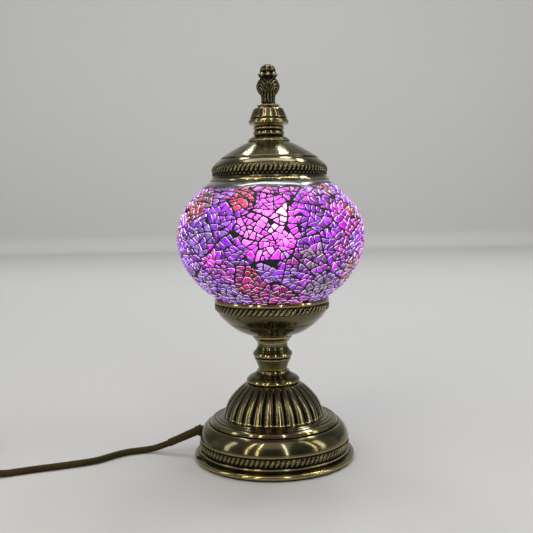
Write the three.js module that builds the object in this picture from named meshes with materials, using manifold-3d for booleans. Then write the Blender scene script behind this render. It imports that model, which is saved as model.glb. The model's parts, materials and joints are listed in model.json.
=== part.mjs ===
// Mosaic glass table lamp: a stepped foot and a turned stem carry a glass globe between two spun cups, under a
// cast finial. The mains lead leaves the foot, passes a rocker switch and ends coiled, with its plug.
// Millimetres, +Z up, the origin in the middle of the underside, -Y to the front.
import * as THREE from 'three';
import { mergeVertices } from 'three/addons/utils/BufferGeometryUtils.js';
import Module from 'manifold-3d';

const wasm = await Module();
wasm.setup();

// ---------------------------------------------------------------- driving dimensions
const gap = 0.3;               // clearance between neighbouring pieces
const footRadius = 52.3;       // over the rolled bead
const globeRadius = 60.2;      // over the mosaic, at the equator
const globeCentre = 144;       // height of the equator
const globeRise = 44.5;        // from the equator to where the upper oval would close
const globeDrop = 48.8;        // from the equator to where the lower oval would close
const mosaicThickness = 2.0;
const glassThickness = 2.4;
const mosaicMouth = 30;        // radius where the mosaic stops, top and bottom
const glassMouth = 27;         // radius of the globe's two openings
const fluteCount = 28;
const fluteDepth = 0.8;
const tubeRadius = 5.0;        // M10 hollow threaded tube
const tubeBore = 3.8;
const tubeHole = 5.4;          // hole for it in every piece it passes
const studRadius = 2.0;        // M4 stud that holds the cap
const studHole = 2.4;
const cordRadius = 2.1;
const wireRadius = 0.9;

const wideSides = 28;          // facets round the large shells
const smallSides = 18;         // facets round the turned pieces
const tinySides = 12;

// Where each piece of the stack starts.
const feltTop = 0.8;
const footBottom = 1.1;
const footTop = 27.7;
const domeBase = footTop + gap;
const collarBase = domeBase + 21.2 + gap;
const knuckleBase = collarBase + 7.9 + gap;
const seatBase = knuckleBase + 18.4 + gap;
const cupBase = seatBase + 3.8 + gap;
const cupFloor = cupBase + 1.3;
const holderBase = cupFloor + 6.1;
const sleeveBase = holderBase + 13.0 + gap;
const bulbCapBase = sleeveBase + 4.8;
const envelopeBase = bulbCapBase + 22.5 + gap;
const strapBase = 175.6;
const strapThickness = 1.5;
const capBase = 179.0;
const neckBase = capBase + 24.6 + gap;
const bellBase = neckBase + 10.4 + gap;
const finialBase = bellBase + 11.2 + gap;

// ---------------------------------------------------------------- materials
const finish = (color, roughness, metalness) => new THREE.MeshStandardMaterial({ color, roughness, metalness });
const antiqueBrass = finish('#6f6238', 0.38, 0.9);
const brightBrass = finish('#b08d3c', 0.35, 0.9);
const plainSteel = finish('#8d8f92', 0.4, 0.9);
const castIron = finish('#3c3d3f', 0.7, 0.5);
const blackFelt = finish('#141414', 0.95, 0);
const clearGlass = finish('#dfe6ec', 0.1, 0);
const mosaicGlass = finish('#8d3fae', 0.25, 0);
const frostedGlass = finish('#fff4ea', 0.5, 0);
const whiteCeramic = finish('#e8e4da', 0.5, 0);
const blackBakelite = finish('#1b1a19', 0.4, 0);
const bronzeLead = finish('#4a3d17', 0.6, 0);
const wireBrown = finish('#5a3520', 0.6, 0);
const wireBlue = finish('#2d4f8f', 0.6, 0);

// ---------------------------------------------------------------- building blocks
const lamp = new THREE.Group();

// Turns every triangle to face out.
const outward = (geometry) => {
  const flat = geometry.index ? geometry.toNonIndexed() : geometry;
  const points = flat.attributes.position;
  const corner = [new THREE.Vector3(), new THREE.Vector3(), new THREE.Vector3()];
  let volume = 0;
  for (let i = 0; i < points.count; i += 3) {
    corner.forEach((c, k) => c.fromBufferAttribute(points, i + k));
    volume += corner[0].dot(corner[1].cross(corner[2]));
  }
  if (volume > 0) return flat;
  for (let i = 0; i < points.count; i += 3) {
    const held = new THREE.Vector3().fromBufferAttribute(points, i);
    points.setXYZ(i, points.getX(i + 1), points.getY(i + 1), points.getZ(i + 1));
    points.setXYZ(i + 1, held.x, held.y, held.z);
  }
  return flat;
};

// Adds a piece, moved up to its own base height.
const place = (name, geometry, material, base = 0) => {
  const mesh = new THREE.Mesh(outward(geometry), material);
  mesh.name = name;
  mesh.position.z = base;
  lamp.add(mesh);
  return mesh;
};

// Revolves [radius, height] points about Z. An outline that leaves the axis closes on itself.
const turned = (outline, sides = smallSides) => {
  const points = outline.map(([r, z]) => new THREE.Vector2(r, z));
  if (outline[0][0] > 0) points.push(points[0].clone());
  return new THREE.LatheGeometry(points, sides).rotateX(Math.PI / 2);
};

const arc = (r, z, radius, from, to, steps) =>
  Array.from({ length: steps + 1 }, (_, k) => {
    const a = THREE.MathUtils.degToRad(from + ((to - from) * k) / steps);
    return [r + radius * Math.cos(a), z + radius * Math.sin(a)];
  });

// A smooth line through the given [radius, height] points.
const smooth = (points, steps) =>
  new THREE.SplineCurve(points.map(([r, z]) => new THREE.Vector2(r, z))).getPoints(steps).map((p) => [p.x, p.y]);

// The globe's outline, set in from its outer face, from the lower mouth to the upper one.
const globeLine = (inset, mouth, steps) => {
  const across = globeRadius - inset;
  const end = Math.acos(mouth / across);
  return Array.from({ length: steps + 1 }, (_, k) => {
    const a = -end + (2 * end * k) / steps;
    const tall = (a < 0 ? globeDrop : globeRise) - inset;
    return [across * Math.cos(a), globeCentre + tall * Math.sin(a)];
  });
};

const ring = (inner, outer, height, sides = smallSides) =>
  turned([[inner, 0], [outer, 0], [outer, height], [inner, height]], sides);

const polygon = (points) => new THREE.Shape(points.map(([x, y]) => new THREE.Vector2(x, y)));

const prism = (shape, height) => new THREE.ExtrudeGeometry(shape, { depth: height, bevelEnabled: false, curveSegments: 6 });

const hexNut = (acrossFlats, bore, height) => {
  const corners = Array.from({ length: 6 }, (_, k) => {
    const a = (k * Math.PI) / 3;
    return [(acrossFlats / Math.sqrt(3)) * Math.cos(a), (acrossFlats / Math.sqrt(3)) * Math.sin(a)];
  });
  const shape = polygon(corners);
  shape.holes.push(new THREE.Path().absarc(0, 0, bore, 0, 2 * Math.PI, true));
  return prism(shape, height);
};

const roundedBlock = (length, width, height, corner) => {
  const [x, y] = [length / 2 - corner, width / 2 - corner];
  const shape = new THREE.Shape();
  shape.absarc(x, y, corner, 0, Math.PI / 2);
  shape.absarc(-x, y, corner, Math.PI / 2, Math.PI);
  shape.absarc(-x, -y, corner, Math.PI, 1.5 * Math.PI);
  shape.absarc(x, -y, corner, 1.5 * Math.PI, 2 * Math.PI);
  return prism(shape, height);
};

const block = (length, width, height, x, y, z) =>
  new THREE.BoxGeometry(length, width, height).translate(x, y, z + height / 2);

const rod = (radius, height, x = 0, y = 0, z = 0, sides = tinySides) =>
  new THREE.CylinderGeometry(radius, radius, height, sides).rotateX(Math.PI / 2).translate(x, y, z + height / 2);

// A round flex through the given points, with a section every few diameters.
const tube = (points, radius, sides = 8, diametersPerStep = 2.4) => {
  const path = new THREE.CatmullRomCurve3(points.map((p) => new THREE.Vector3(...p)), false, 'centripetal');
  const steps = Math.max(3, Math.round(path.getLength() / (2 * radius * diametersPerStep)));
  const section = Array.from({ length: sides }, (_, k) => {
    const a = (2 * Math.PI * k) / sides;
    return [radius * Math.cos(a), radius * Math.sin(a)];
  });
  return new THREE.ExtrudeGeometry(polygon(section), { steps, extrudePath: path });
};

const solid = (geometry) => {
  const bare = outward(geometry.clone());
  bare.deleteAttribute('normal');
  bare.deleteAttribute('uv');
  const merged = mergeVertices(bare, 1e-4);
  const vertProperties = new Float32Array(merged.attributes.position.array);
  const triVerts = new Uint32Array(merged.index.array);
  return new wasm.Manifold(new wasm.Mesh({ numProp: 3, vertProperties, triVerts }));
};

const surface = (body) => {
  const mesh = body.getMesh();
  const geometry = new THREE.BufferGeometry();
  geometry.setAttribute('position', new THREE.BufferAttribute(new Float32Array(mesh.vertProperties), 3));
  geometry.setIndex(new THREE.BufferAttribute(new Uint32Array(mesh.triVerts), 1));
  return geometry;
};

const cut = (geometry, ...tools) =>
  surface(tools.reduce((body, tool) => body.subtract(solid(tool)), solid(geometry)));

const joined = (first, second) => surface(solid(first).add(solid(second)));

// ---------------------------------------------------------------- cord exit
// The lead leaves the foot through a bushing, and its sleeve droops towards the table.
const exitTurn = THREE.MathUtils.degToRad(174);
const exitDroop = THREE.MathUtils.degToRad(24);
const exitHeight = 15.8;
const sleeveRoot = 50.4;       // from the lamp's axis to where the sleeve starts to droop
const sleeveLength = 22;
const bushingHole = 3.5;
const bushingInnerEnd = 42.6;

// A point at a distance from the lamp's axis, on the exit's side.
const atExit = (reach, z) => [reach * Math.cos(exitTurn), reach * Math.sin(exitTurn), z];

// Lays a piece that was built up along Z onto the exit's direction, drooped by an angle.
const layOut = (geometry, droop, reach) =>
  geometry.rotateY(Math.PI / 2 + droop).translate(reach, 0, 0).rotateZ(exitTurn).translate(0, 0, exitHeight);

const sleeveEnd = (past) => {
  const along = sleeveLength + past;
  return atExit(sleeveRoot + along * Math.cos(exitDroop), exitHeight - along * Math.sin(exitDroop));
};

// ---------------------------------------------------------------- foot
const makeFoot = () => {
  const bead = arc(footRadius - 1.5, footBottom + 1.5, 1.5, -90, 90, 4);
  const outside = [
    ...bead, [49.9, 4.3], [48.7, 5.0], [48.5, 6.6], [48.1, 7.2], [48.3, 12.6],
    ...smooth([[48.5, 13.4], [47.4, 18], [46.0, 21], [44.2, 23], [42.6, 23.7]], 5),
    [41.6, 23.2], [41.1, 24.6], [40.6, 25.9], [39.2, 26.7], [34.2, 27.5], [33.4, footTop], [tubeHole, footTop],
  ];
  const inside = [
    [tubeHole, 26.5], [38.6, 25.4], [39.6, 24.4], [40.2, 22.1], [42.4, 22.2], [45.2, 19.2], [46.7, 14],
    [46.9, 6.5], [48.6, 3.3], [49.4, footBottom],
  ];
  const hole = layOut(rod(bushingHole, 14, 0, 0, -7), 0, 47);
  place('foot_shell', cut(turned([...outside, ...inside], wideSides), hole), antiqueBrass);
  place('base_felt', turned([[0, 0], [50.6, 0], [50.6, feltTop], [0, feltTop]], wideSides), blackFelt);
  place('base_plate', turned([[0, 0], [48.3, 0], [48.3, 1], [0, 1]], wideSides), plainSteel, 1.4);
  place('base_weight', turned([[tubeHole, 0], [25.5, 0], [27, 1.5], [27, 10.2], [tubeHole, 10.2]], wideSides), castIron, 15);
  place('bottom_washer', ring(tubeHole, 11, 1.4), plainSteel, 13.3);
  place('bottom_nut', hexNut(14, tubeHole, 4.5), plainSteel, 8.5);
};

// ---------------------------------------------------------------- stem
const makeDome = () => {
  const ribs = smooth([[32.2, 0], [29.9, 7.1], [24.5, 15.0], [18.6, 20.1]], 5);
  const inside = [[tubeHole, 20.0], [15.6, 19.4], [22.6, 13.6], [27.8, 6.6], [30.3, 0]];
  const geometry = turned([...ribs, [16.6, 20.9], [12, 21.2], [tubeHole, 21.2], ...inside], fluteCount * 2);
  // Every other facet line of the outer face sinks in, which leaves a row of ribs.
  const points = geometry.attributes.position;
  const rows = ribs.length + 3 + inside.length + 1;
  for (let i = 0; i < points.count; i += 1) {
    const line = Math.floor(i / rows);
    const row = i % rows;
    const onRibs = row < ribs.length || row === rows - 1;
    if (!onRibs || line % 2 === 1) continue;
    const shrink = 1 - fluteDepth / Math.hypot(points.getX(i), points.getY(i));
    points.setXY(i, points.getX(i) * shrink, points.getY(i) * shrink);
  }
  place('fluted_dome', geometry, antiqueBrass, domeBase);
};

const makeStem = () => {
  const collar = [
    [tubeHole, 0], [16.9, 0], [17.1, 0.8], [16.2, 2.9], [14.6, 4.2], [12.2, 5.3], [10.6, 6.6], [10.1, 7.9],
    [tubeHole, 7.9],
  ];
  const knuckle = [
    [tubeHole, 0], [9.1, 0], [9.9, 3.3], [11.1, 6.0], [11.6, 7.2], [11.6, 7.9], [12.6, 8.9], [12.8, 10.2],
    [12.3, 11.7], [11.2, 12.9], [10.0, 14.2], [9.7, 15.7], [9.7, 18.4], [tubeHole, 18.4],
  ];
  const seat = [[tubeHole, 0], [11.0, 0], [11.3, 0.9], [12.5, 2.0], [12.9, 3.3], [13.0, 3.8], [tubeHole, 3.8]];
  place('dome_collar', turned(collar), antiqueBrass, collarBase);
  place('stem_knuckle', turned(knuckle), antiqueBrass, knuckleBase);
  place('cup_seat_ring', turned(seat), antiqueBrass, seatBase);
  place('threaded_tube', ring(tubeBore, tubeRadius, 86, tinySides), plainSteel, 7);
};

const makeCup = () => {
  const outside = [
    [tubeHole, 0], [13.6, 0], [16.3, 0.6],
    ...smooth([[19.9, 2.0], [24.3, 4.6], [28.6, 7.6]], 3),
    ...smooth([[29.8, 9.2], [33.4, 12.8], [36.2, 17.6], [37.0, 21.0], [36.8, 23.9]], 5),
  ];
  const inside = [
    [35.6, 23.9], [35.7, 20.4], [34.8, 17.6], [32.4, 13.9], [28.0, 9.8], [22.4, 5.7], [17.0, 2.6], [13.2, 1.5],
    [tubeHole, 1.3],
  ];
  place('lower_cup', turned([...outside, ...inside], wideSides), antiqueBrass, cupBase);
  place('cup_washer', ring(tubeHole, 11, 1.2), plainSteel, cupFloor + gap);
  place('cup_nut', hexNut(14, tubeHole, 4), plainSteel, cupFloor + 1.8);
};

// ---------------------------------------------------------------- lampholder and bulb
const makeHolder = () => {
  const base = [
    [tubeHole, 0], [8.0, 0], [8.0, 3.2], [13.6, 5.0], [14.0, 6.0], [14.0, 13.0], [12.7, 13.0], [12.7, 7.0],
    [tubeHole, 6.2],
  ];
  const insulator = [[1.6, 0], [12.4, 0], [12.4, 25], [8.8, 25], [8.8, 3.2], [1.6, 3.2]];
  const contact = [[0, 0], [1.2, 0], [1.2, 3.6], [2.6, 3.6], [2.6, 4.2], [0, 4.2]];
  place('lampholder_base', turned(base), blackBakelite, holderBase);
  place('lampholder_sleeve', ring(12.7, 14, 27), blackBakelite, sleeveBase);
  place('lampholder_insulator', turned(insulator), whiteCeramic, sleeveBase);
  place('lampholder_screw_shell', ring(7.5, 8.5, 21, tinySides), brightBrass, sleeveBase + 3.5);
  place('lampholder_contact', turned(contact, tinySides), brightBrass, sleeveBase + gap);
};

const makeBulb = () => {
  const threadPitch = 2.82;
  const thread = Array.from({ length: 5 }, (_, k) => [[6.9, 5 + k * threadPitch], [6.3, 5 + (k + 0.5) * threadPitch]]);
  const cap = [[0, 0], [2.4, 0], [2.8, 0.8], [5.4, 3.0], [6.4, 4.2], ...thread.flat(), [6.9, 19.4], [6.9, 22.5], [0, 22.5]];
  const centre = 21.7;
  const outside = [[8.6, 0], [9.2, 2.4], ...arc(0, centre, 20, -50, 90, 7)];
  const inside = [...arc(0, centre, 19.2, 90, -50, 7), [8.4, 2.6], [7.8, 0]];
  inside[0][0] = 0;
  outside[outside.length - 1][0] = 0;
  place('bulb_cap', turned(cap, tinySides), brightBrass, bulbCapBase);
  place('bulb_envelope', turned([...inside, ...outside]), frostedGlass, envelopeBase);
};

// ---------------------------------------------------------------- globe
const makeGlobe = () => {
  const glassInset = mosaicThickness + gap;
  const shell = (inset, thickness, mouth, steps) =>
    turned([...globeLine(inset, mouth, steps), ...globeLine(inset + thickness, mouth, steps).reverse()], wideSides);
  place('mosaic_layer', shell(0, mosaicThickness, mosaicMouth, 12), mosaicGlass);
  place('globe_glass', shell(glassInset, glassThickness, glassMouth, 12), clearGlass);
};

// ---------------------------------------------------------------- cap and finial
const makeCap = () => {
  const strap = polygon([[-29.5, -5], [29.5, -5], [29.5, 5], [-29.5, 5]]);
  strap.holes.push(new THREE.Path().absarc(0, 0, studHole, 0, 2 * Math.PI, true));
  const stud = [[0, 0], [4.5, 0], [4.5, 1], [studRadius, 1], [studRadius, 59.7], [0, 59.7]];
  const outside = [
    [37.5, 0], [38.2, 0.1], [37.3, 1.2], [36.5, 2.2], [36.3, 3.4], [36.8, 4.6],
    ...smooth([[36.9, 6.4], [36.4, 8.0], [35.1, 10.2], [31.3, 13.9]], 5), [30.4, 15.0],
    ...smooth([[30.0, 15.6], [22.3, 20.4], [17.8, 23.0], [14.3, 24.4]], 4), [13.4, 24.6], [studHole, 24.6],
  ];
  const inside = [
    [studHole, 23.4], [13.0, 23.2], [17.2, 21.8], [21.6, 19.1], [28.6, 14.6], [32.0, 11.8], [34.2, 9.4],
    [35.4, 6.4], [34.9, 3.4], [36.2, 1.2],
  ];
  const neck = [
    [studHole, 0], [13.2, 0], [13.2, 0.7], [12.4, 1.9], [10.8, 3.1], [9.3, 5.0], [9.9, 7.0], [9.3, 8.6],
    [9.8, 10.4], [studHole, 10.4],
  ];
  const bell = [
    [studHole, 0], [11.4, 0], [12.4, 0.9], [12.5, 2.4], [12.0, 3.8], [11.5, 4.6], [10.4, 7.5], [9.2, 10.0],
    [7.6, 10.8], [6.8, 11.2], [studHole, 11.2],
  ];
  place('cap_strap', prism(strap, strapThickness), plainSteel, strapBase);
  place('cap_stud', turned(stud, tinySides), plainSteel, strapBase - 1 - gap);
  place('cap_stud_nut', hexNut(7, studHole, 3.2), plainSteel, strapBase + strapThickness + gap);
  place('cap_dome', turned([...outside, ...inside], wideSides), antiqueBrass, capBase);
  place('cap_neck', turned(neck), antiqueBrass, neckBase);
  place('bell_collar', turned(bell), antiqueBrass, bellBase);
};

const makeFinial = () => {
  const bore = 3.5;
  const finial = [
    [0, 10.5], [bore, 10.5], [bore, 0], [6.9, 0], [6.9, 0.8], [5.8, 1.3], [4.6, 2.3], [4.6, 6.1], [5.2, 7.3],
    [6.4, 9.7], [7.0, 12.2], [6.2, 14.7], [4.9, 17.2], [5.2, 18.5], [5.9, 19.7], [5.5, 21.2], [4.2, 23.4],
    [3.5, 24.7], [1.9, 25.9], [0, 26.4],
  ];
  place('finial_insert', ring(studRadius + gap, bore - gap, 9.6, tinySides), brightBrass, finialBase);
  place('finial', turned(finial), antiqueBrass, finialBase);
};

// ---------------------------------------------------------------- switch and plug
const switchLength = 50;
const switchWidth = 22;
const switchHeight = 13;
const switchSplit = 6.2;       // height of the lower half
const switchStart = [-186.3, -36];
const switchCentre = [switchStart[0] - switchLength / 2, switchStart[1]];
const cordInSwitch = 6.5;      // height of the lead where it meets the switch
const rockerTilt = THREE.MathUtils.degToRad(8);
const rockerPivot = 11.0;

const makeSwitch = () => {
  const [x, y] = switchCentre;
  const corner = 5;
  const screws = [[-20.5, -6.5], [20.5, 6.5]];
  const holes = screws.flatMap(([sx, sy]) => [rod(2.7, 2.6, sx, sy, -0.3), rod(1.5, 13, sx, sy, -1.5)]);
  const lower = cut(roundedBlock(switchLength, switchWidth, switchSplit, corner), block(34, 16, 6, 0, 0, 1.8), ...holes);
  const top = switchSplit + gap;
  const upper = cut(
    roundedBlock(switchLength, switchWidth, switchHeight - top, corner).translate(0, 0, top),
    block(34, 16, 4.7 + gap, 0, 0, top - gap), block(15, 9, 6, 0, 0, 9), ...holes,
  );
  const rocker = polygon([[-6.6, -1.0], [6.6, -1.0], [6.9, 3.6], [0, 2.6], [-6.9, 3.6]]);
  const key = prism(rocker, 8).rotateX(Math.PI / 2).translate(0, 4, 0).rotateY(-rockerTilt).translate(0, 0, rockerPivot);
  const screw = [[0, 0], [2.4, 0], [2.4, 1.6], [1.2, 1.6], [1.2, 10], [0, 10]];
  place('switch_lower', lower.translate(x, y, 0), blackBakelite);
  place('switch_upper', upper.translate(x, y, 0), blackBakelite);
  place('switch_rocker', key.translate(x, y, 0), blackBakelite);
  place('switch_contact', block(24, 4, 0.8, x, y, 2.4), brightBrass);
  screws.forEach(([sx, sy], k) => {
    place(`switch_screw_${k + 1}`, turned(screw, 8).translate(x + sx, y + sy, 0), plainSteel, 0.4);
  });
};

const plugTip = -192;
const pinLength = 19;
const pinRadius = 2.0;
const pinSpacing = 18.6;
const plugBody = 27;
const plugNeck = 12;
const plugHeight = 6.9;        // height of the plug's middle
const plugFace = plugTip - pinLength;
const plugRear = plugFace - plugBody;
const plugStart = plugRear - plugNeck;

const makePlug = (y) => {
  const bevel = 1.5;
  const outline = new THREE.Shape();
  outline.moveTo(bevel, -5);
  outline.quadraticCurveTo(6, -15.5, 14, 1 - 17);
  outline.lineTo(plugBody - bevel, 1 - 17);
  outline.lineTo(plugBody - bevel, 17 - 1);
  outline.lineTo(14, 17 - 1);
  outline.quadraticCurveTo(6, 15.5, bevel, 5);
  const body = new THREE.ExtrudeGeometry(outline, {
    depth: 2 * plugHeight - 0.4 - 2 * bevel, bevelThickness: bevel, bevelSize: bevel, bevelSegments: 2, curveSegments: 4,
  });
  body.translate(plugRear, y, 0.2 + bevel);
  const neck = turned([[0, 0], [2.7, 0], [4.8, plugNeck], [4.8, plugNeck + 3], [0, plugNeck + 3]], tinySides);
  neck.rotateY(Math.PI / 2).translate(plugStart, y, plugHeight);
  const pin = [[0, 0], [pinRadius, 0], [pinRadius, pinLength - 2], [1.4, pinLength - 0.6], [0, pinLength - gap]];
  place('plug_body', joined(body, neck), blackBakelite);
  [-1, 1].forEach((side) => {
    const laid = turned(pin, 8).rotateY(Math.PI / 2).translate(plugFace + gap, y + (side * pinSpacing) / 2, plugHeight);
    place(side < 0 ? 'plug_pin_front' : 'plug_pin_rear', laid, brightBrass);
  });
};

// ---------------------------------------------------------------- mains lead
const onTable = 2.15;          // height of the lead's middle where it lies
const coilCentre = [-307, -4.5];
const coilMiddle = 25.2;       // radius at the middle of the turns
const coilAcross = 4 * cordRadius;      // from the middle of the turns to their outside
const coilBottom = 0.9;
const coilLayers = 3;
const coilTop = coilBottom + coilLayers * 2 * cordRadius - gap;
const tailRadius = 18.9;       // of the half turn that lies on the coil
const tailHeight = coilBottom + coilLayers * 2 * cordRadius + cordRadius;

const makeExit = () => {
  const bushing = [
    [0, 0], [4.4, 0], [4.4, 1.2], [3.2, 1.2], [3.2, 6.3], [4.0, 6.3], [4.0, 7.4], ...arc(0, 7.8, 3.3, 0, 90, 4),
  ];
  bushing[bushing.length - 1][0] = 0;
  const sleeve = [[0, 0], [3.3, 0], [2.5, sleeveLength], [0, sleeveLength]];
  const inWall = layOut(turned(bushing, tinySides), 0, bushingInnerEnd);
  const outside = layOut(turned(sleeve, tinySides), exitDroop, sleeveRoot);
  place('strain_relief', joined(inWall, outside), bronzeLead);
};

const makeWiring = () => {
  const inFoot = [
    atExit(bushingInnerEnd - gap, exitHeight), atExit(38, 15.5), atExit(33, 13.2), atExit(28.5, 9.6),
    atExit(24, 7.0), atExit(20, 6.2),
  ];
  place('cord_in_foot', tube(inFoot, cordRadius), bronzeLead);
  [['wire_live', 1, wireBrown], ['wire_neutral', -1, wireBlue]].forEach(([name, side, colour]) => {
    const route = [
      [-19.6, 2.1 + side * 1.1, 6.2], [-12, 0.8 + side * 1.5, 4.7], [-5, side * 1.5, 4.3], [-1.5, side * 1.5, 5.9],
      [0, side * 1.5, 10], [0, side * 1.5, 55], [0, side * 1.5, holderBase + 11],
    ];
    place(name, tube(route, wireRadius, 6, 3.4), colour);
  });
};

const makeLead = () => {
  const fromFoot = [
    sleeveEnd(gap), [-75.5, 7.9, 4.75], [-80.2, 8.3, 3.2], [-85, 8.4, 2.35], [-90.1, 7.2, onTable],
    [-95.2, 5.3, onTable], [-100, 2.6, onTable], [-104.5, -1.2, onTable], [-108.7, -5.6, onTable],
    [-113, -9.9, onTable], [-118, -13.3, onTable], [-126, -16.8, onTable], [-136, -20.8, onTable],
    [-150, -25.8, onTable], [-160, -29.9, onTable], [-167, -32.8, 2.3], [-173, -34.7, 3.5], [-179.5, -35.8, 5.7],
    [switchStart[0] + gap, switchStart[1], cordInSwitch],
  ];
  const [cx, cy] = coilCentre;
  const reach = switchStart[0] - switchLength;
  const outer = cy - coilMiddle - 1.5 * 2 * cordRadius;
  const low = coilBottom + cordRadius;
  const toCoil = [
    [reach - gap, outer, cordInSwitch], [reach - 6, outer, 6.1], [reach - 13, outer, 4.7], [reach - 20, outer, 3.3],
    [reach - 27, outer, low], [cx + 18, outer, low],
  ];
  const halfTurn = Array.from({ length: 13 }, (_, k) => {
    const a = -Math.PI / 2 - (Math.PI * k) / 12;
    return [cx + tailRadius * Math.cos(a), cy + tailRadius * Math.sin(a), tailHeight];
  });
  const tailSide = cy + tailRadius;
  const toPlug = [
    [cx + 12, tailSide, tailHeight], [cx + 29, tailSide, tailHeight], [cx + 35, tailSide, tailHeight - 1.2],
    [cx + 42, tailSide, tailHeight - 4.2], [cx + 49, tailSide, tailHeight - 7.4],
    [plugStart - gap, tailSide, plugHeight],
  ];
  place('lead_to_switch', tube(fromFoot, cordRadius), bronzeLead);
  place('lead_to_coil', tube(toCoil, cordRadius), bronzeLead);
  const coil = ring(coilMiddle - coilAcross, coilMiddle + coilAcross, coilTop - coilBottom);
  place('lead_coil', coil.translate(cx, cy, 0), bronzeLead, coilBottom);
  place('lead_to_plug', tube([...halfTurn, ...toPlug], cordRadius), bronzeLead);
  makePlug(tailSide);
};

const makeTie = () => {
  const [cx, cy] = coilCentre;
  const strip = 0.6;
  const width = 4;
  const [near, far] = [coilMiddle - coilAcross - 0.35, coilMiddle + coilAcross + 0.35];
  const top = coilTop + gap;
  const outline = polygon([[near - strip, 0], [far + strip, 0], [far + strip, top + strip], [near - strip, top + strip]]);
  outline.holes.push(new THREE.Path([[near, strip], [near, top], [far, top], [far, strip]].map((p) => new THREE.Vector2(...p))));
  place('coil_tie', prism(outline, width).rotateX(Math.PI / 2).translate(cx, cy + width / 2, 0), blackBakelite);
};

makeFoot();
makeDome();
makeStem();
makeCup();
makeHolder();
makeBulb();
makeGlobe();
makeCap();
makeFinial();
makeExit();
makeWiring();
makeSwitch();
makeLead();
makeTie();

export default lamp;
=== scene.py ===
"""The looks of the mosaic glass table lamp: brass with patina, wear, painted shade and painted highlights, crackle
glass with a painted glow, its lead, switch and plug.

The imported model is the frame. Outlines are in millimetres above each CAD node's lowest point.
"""
import json
import math
import random

import bmesh
import bpy
import numpy as np
from mathutils import Matrix, Vector, noise


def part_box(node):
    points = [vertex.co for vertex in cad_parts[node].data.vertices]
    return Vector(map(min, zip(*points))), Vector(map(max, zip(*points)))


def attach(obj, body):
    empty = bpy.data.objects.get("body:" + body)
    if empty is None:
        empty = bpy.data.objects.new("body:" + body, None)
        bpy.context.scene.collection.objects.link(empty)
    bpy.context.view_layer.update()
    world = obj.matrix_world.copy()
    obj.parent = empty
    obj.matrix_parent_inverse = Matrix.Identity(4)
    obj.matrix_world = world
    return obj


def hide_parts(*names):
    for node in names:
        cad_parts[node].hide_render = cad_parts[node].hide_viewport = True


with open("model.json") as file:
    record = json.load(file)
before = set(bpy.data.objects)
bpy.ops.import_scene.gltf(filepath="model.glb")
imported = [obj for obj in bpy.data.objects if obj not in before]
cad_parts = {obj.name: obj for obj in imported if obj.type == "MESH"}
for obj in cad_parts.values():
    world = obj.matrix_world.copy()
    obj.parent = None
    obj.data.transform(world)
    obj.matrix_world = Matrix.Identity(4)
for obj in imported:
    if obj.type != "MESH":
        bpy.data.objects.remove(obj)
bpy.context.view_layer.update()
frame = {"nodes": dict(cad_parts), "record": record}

MM = 0.001
TAU = 2 * math.pi
SEED = 7
rng = random.Random(SEED)
noise.seed_set(SEED)

# ---------------------------------------------------------------- camera
CAMERA_PLACE = (-0.003, -0.495, 0.166)
CAMERA_PITCH = 4.8        # degrees below level
CAMERA_ROLL = -1.05
CAMERA_LENS = 52
SENSOR_WIDTH = 36


def new_object(name, data):
    piece = bpy.data.objects.new(name, data)
    bpy.context.scene.collection.objects.link(piece)
    return piece


def make_camera():
    data = bpy.data.cameras.new("camera")
    data.lens = CAMERA_LENS
    data.sensor_width = SENSOR_WIDTH
    data.clip_start = 0.01
    camera = new_object("camera", data)
    turn = Matrix.Rotation(math.radians(90 - CAMERA_PITCH), 4, "X")
    turn = turn @ Matrix.Rotation(math.radians(CAMERA_ROLL), 4, "Z")
    camera.matrix_world = Matrix.Translation(CAMERA_PLACE) @ turn
    bpy.context.scene.camera = camera


# ---------------------------------------------------------------- shader building
def new_material(name):
    material = bpy.data.materials.new(name)
    material.use_nodes = True
    tree = material.node_tree
    return material, tree, tree.nodes["Principled BSDF"]


def add(tree, kind, **values):
    """A node, with its properties or its unlinked sockets set by name."""
    node = tree.nodes.new(kind)
    for key, value in values.items():
        if hasattr(node, key):
            setattr(node, key, value)
        else:
            node.inputs[key.replace("_", " ")].default_value = value
    return node


def maths(tree, operation, first, second=None, third=None):
    node = tree.nodes.new("ShaderNodeMath")
    node.operation = operation
    for socket, value in zip(node.inputs, (first, second, third)):
        if value is None:
            continue
        if isinstance(value, (int, float)):
            socket.default_value = value
        else:
            tree.links.new(value, socket)
    return node.outputs[0]


def blend(tree, factor, first, second):
    """Mixes two colours. Each of the three may be a socket or a value."""
    node = tree.nodes.new("ShaderNodeMix")
    node.data_type = "RGBA"
    for socket, value in ((node.inputs[0], factor), (node.inputs[6], first), (node.inputs[7], second)):
        if isinstance(value, bpy.types.NodeSocket):
            tree.links.new(value, socket)
        elif isinstance(value, (int, float)):
            socket.default_value = value
        else:
            socket.default_value = (*value, 1)
    return node.outputs[2]


def object_noise(tree, scale, detail=3):
    """Noise over the object's own coordinates, from 0 to 1."""
    place = add(tree, "ShaderNodeTexCoord")
    texture = add(tree, "ShaderNodeTexNoise", Scale=scale, Detail=detail)
    tree.links.new(place.outputs["Object"], texture.inputs["Vector"])
    return texture.outputs["Fac"]


def bump(tree, shader, height, strength, distance):
    node = add(tree, "ShaderNodeBump", Strength=strength, Distance=distance)
    tree.links.new(height, node.inputs["Height"])
    tree.links.new(node.outputs["Normal"], shader.inputs["Normal"])


def spread(tree, value, low, high, to_low, to_high):
    """Maps one range of values to another."""
    node = add(tree, "ShaderNodeMapRange", From_Min=low, From_Max=high, To_Min=to_low, To_Max=to_high)
    tree.links.new(value, node.inputs["Value"])
    return node.outputs["Result"]


def tune(shader, **values):
    """Sets the shader's unlinked sockets by name."""
    for key, value in values.items():
        shader.inputs[key.replace("_", " ")].default_value = value


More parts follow.
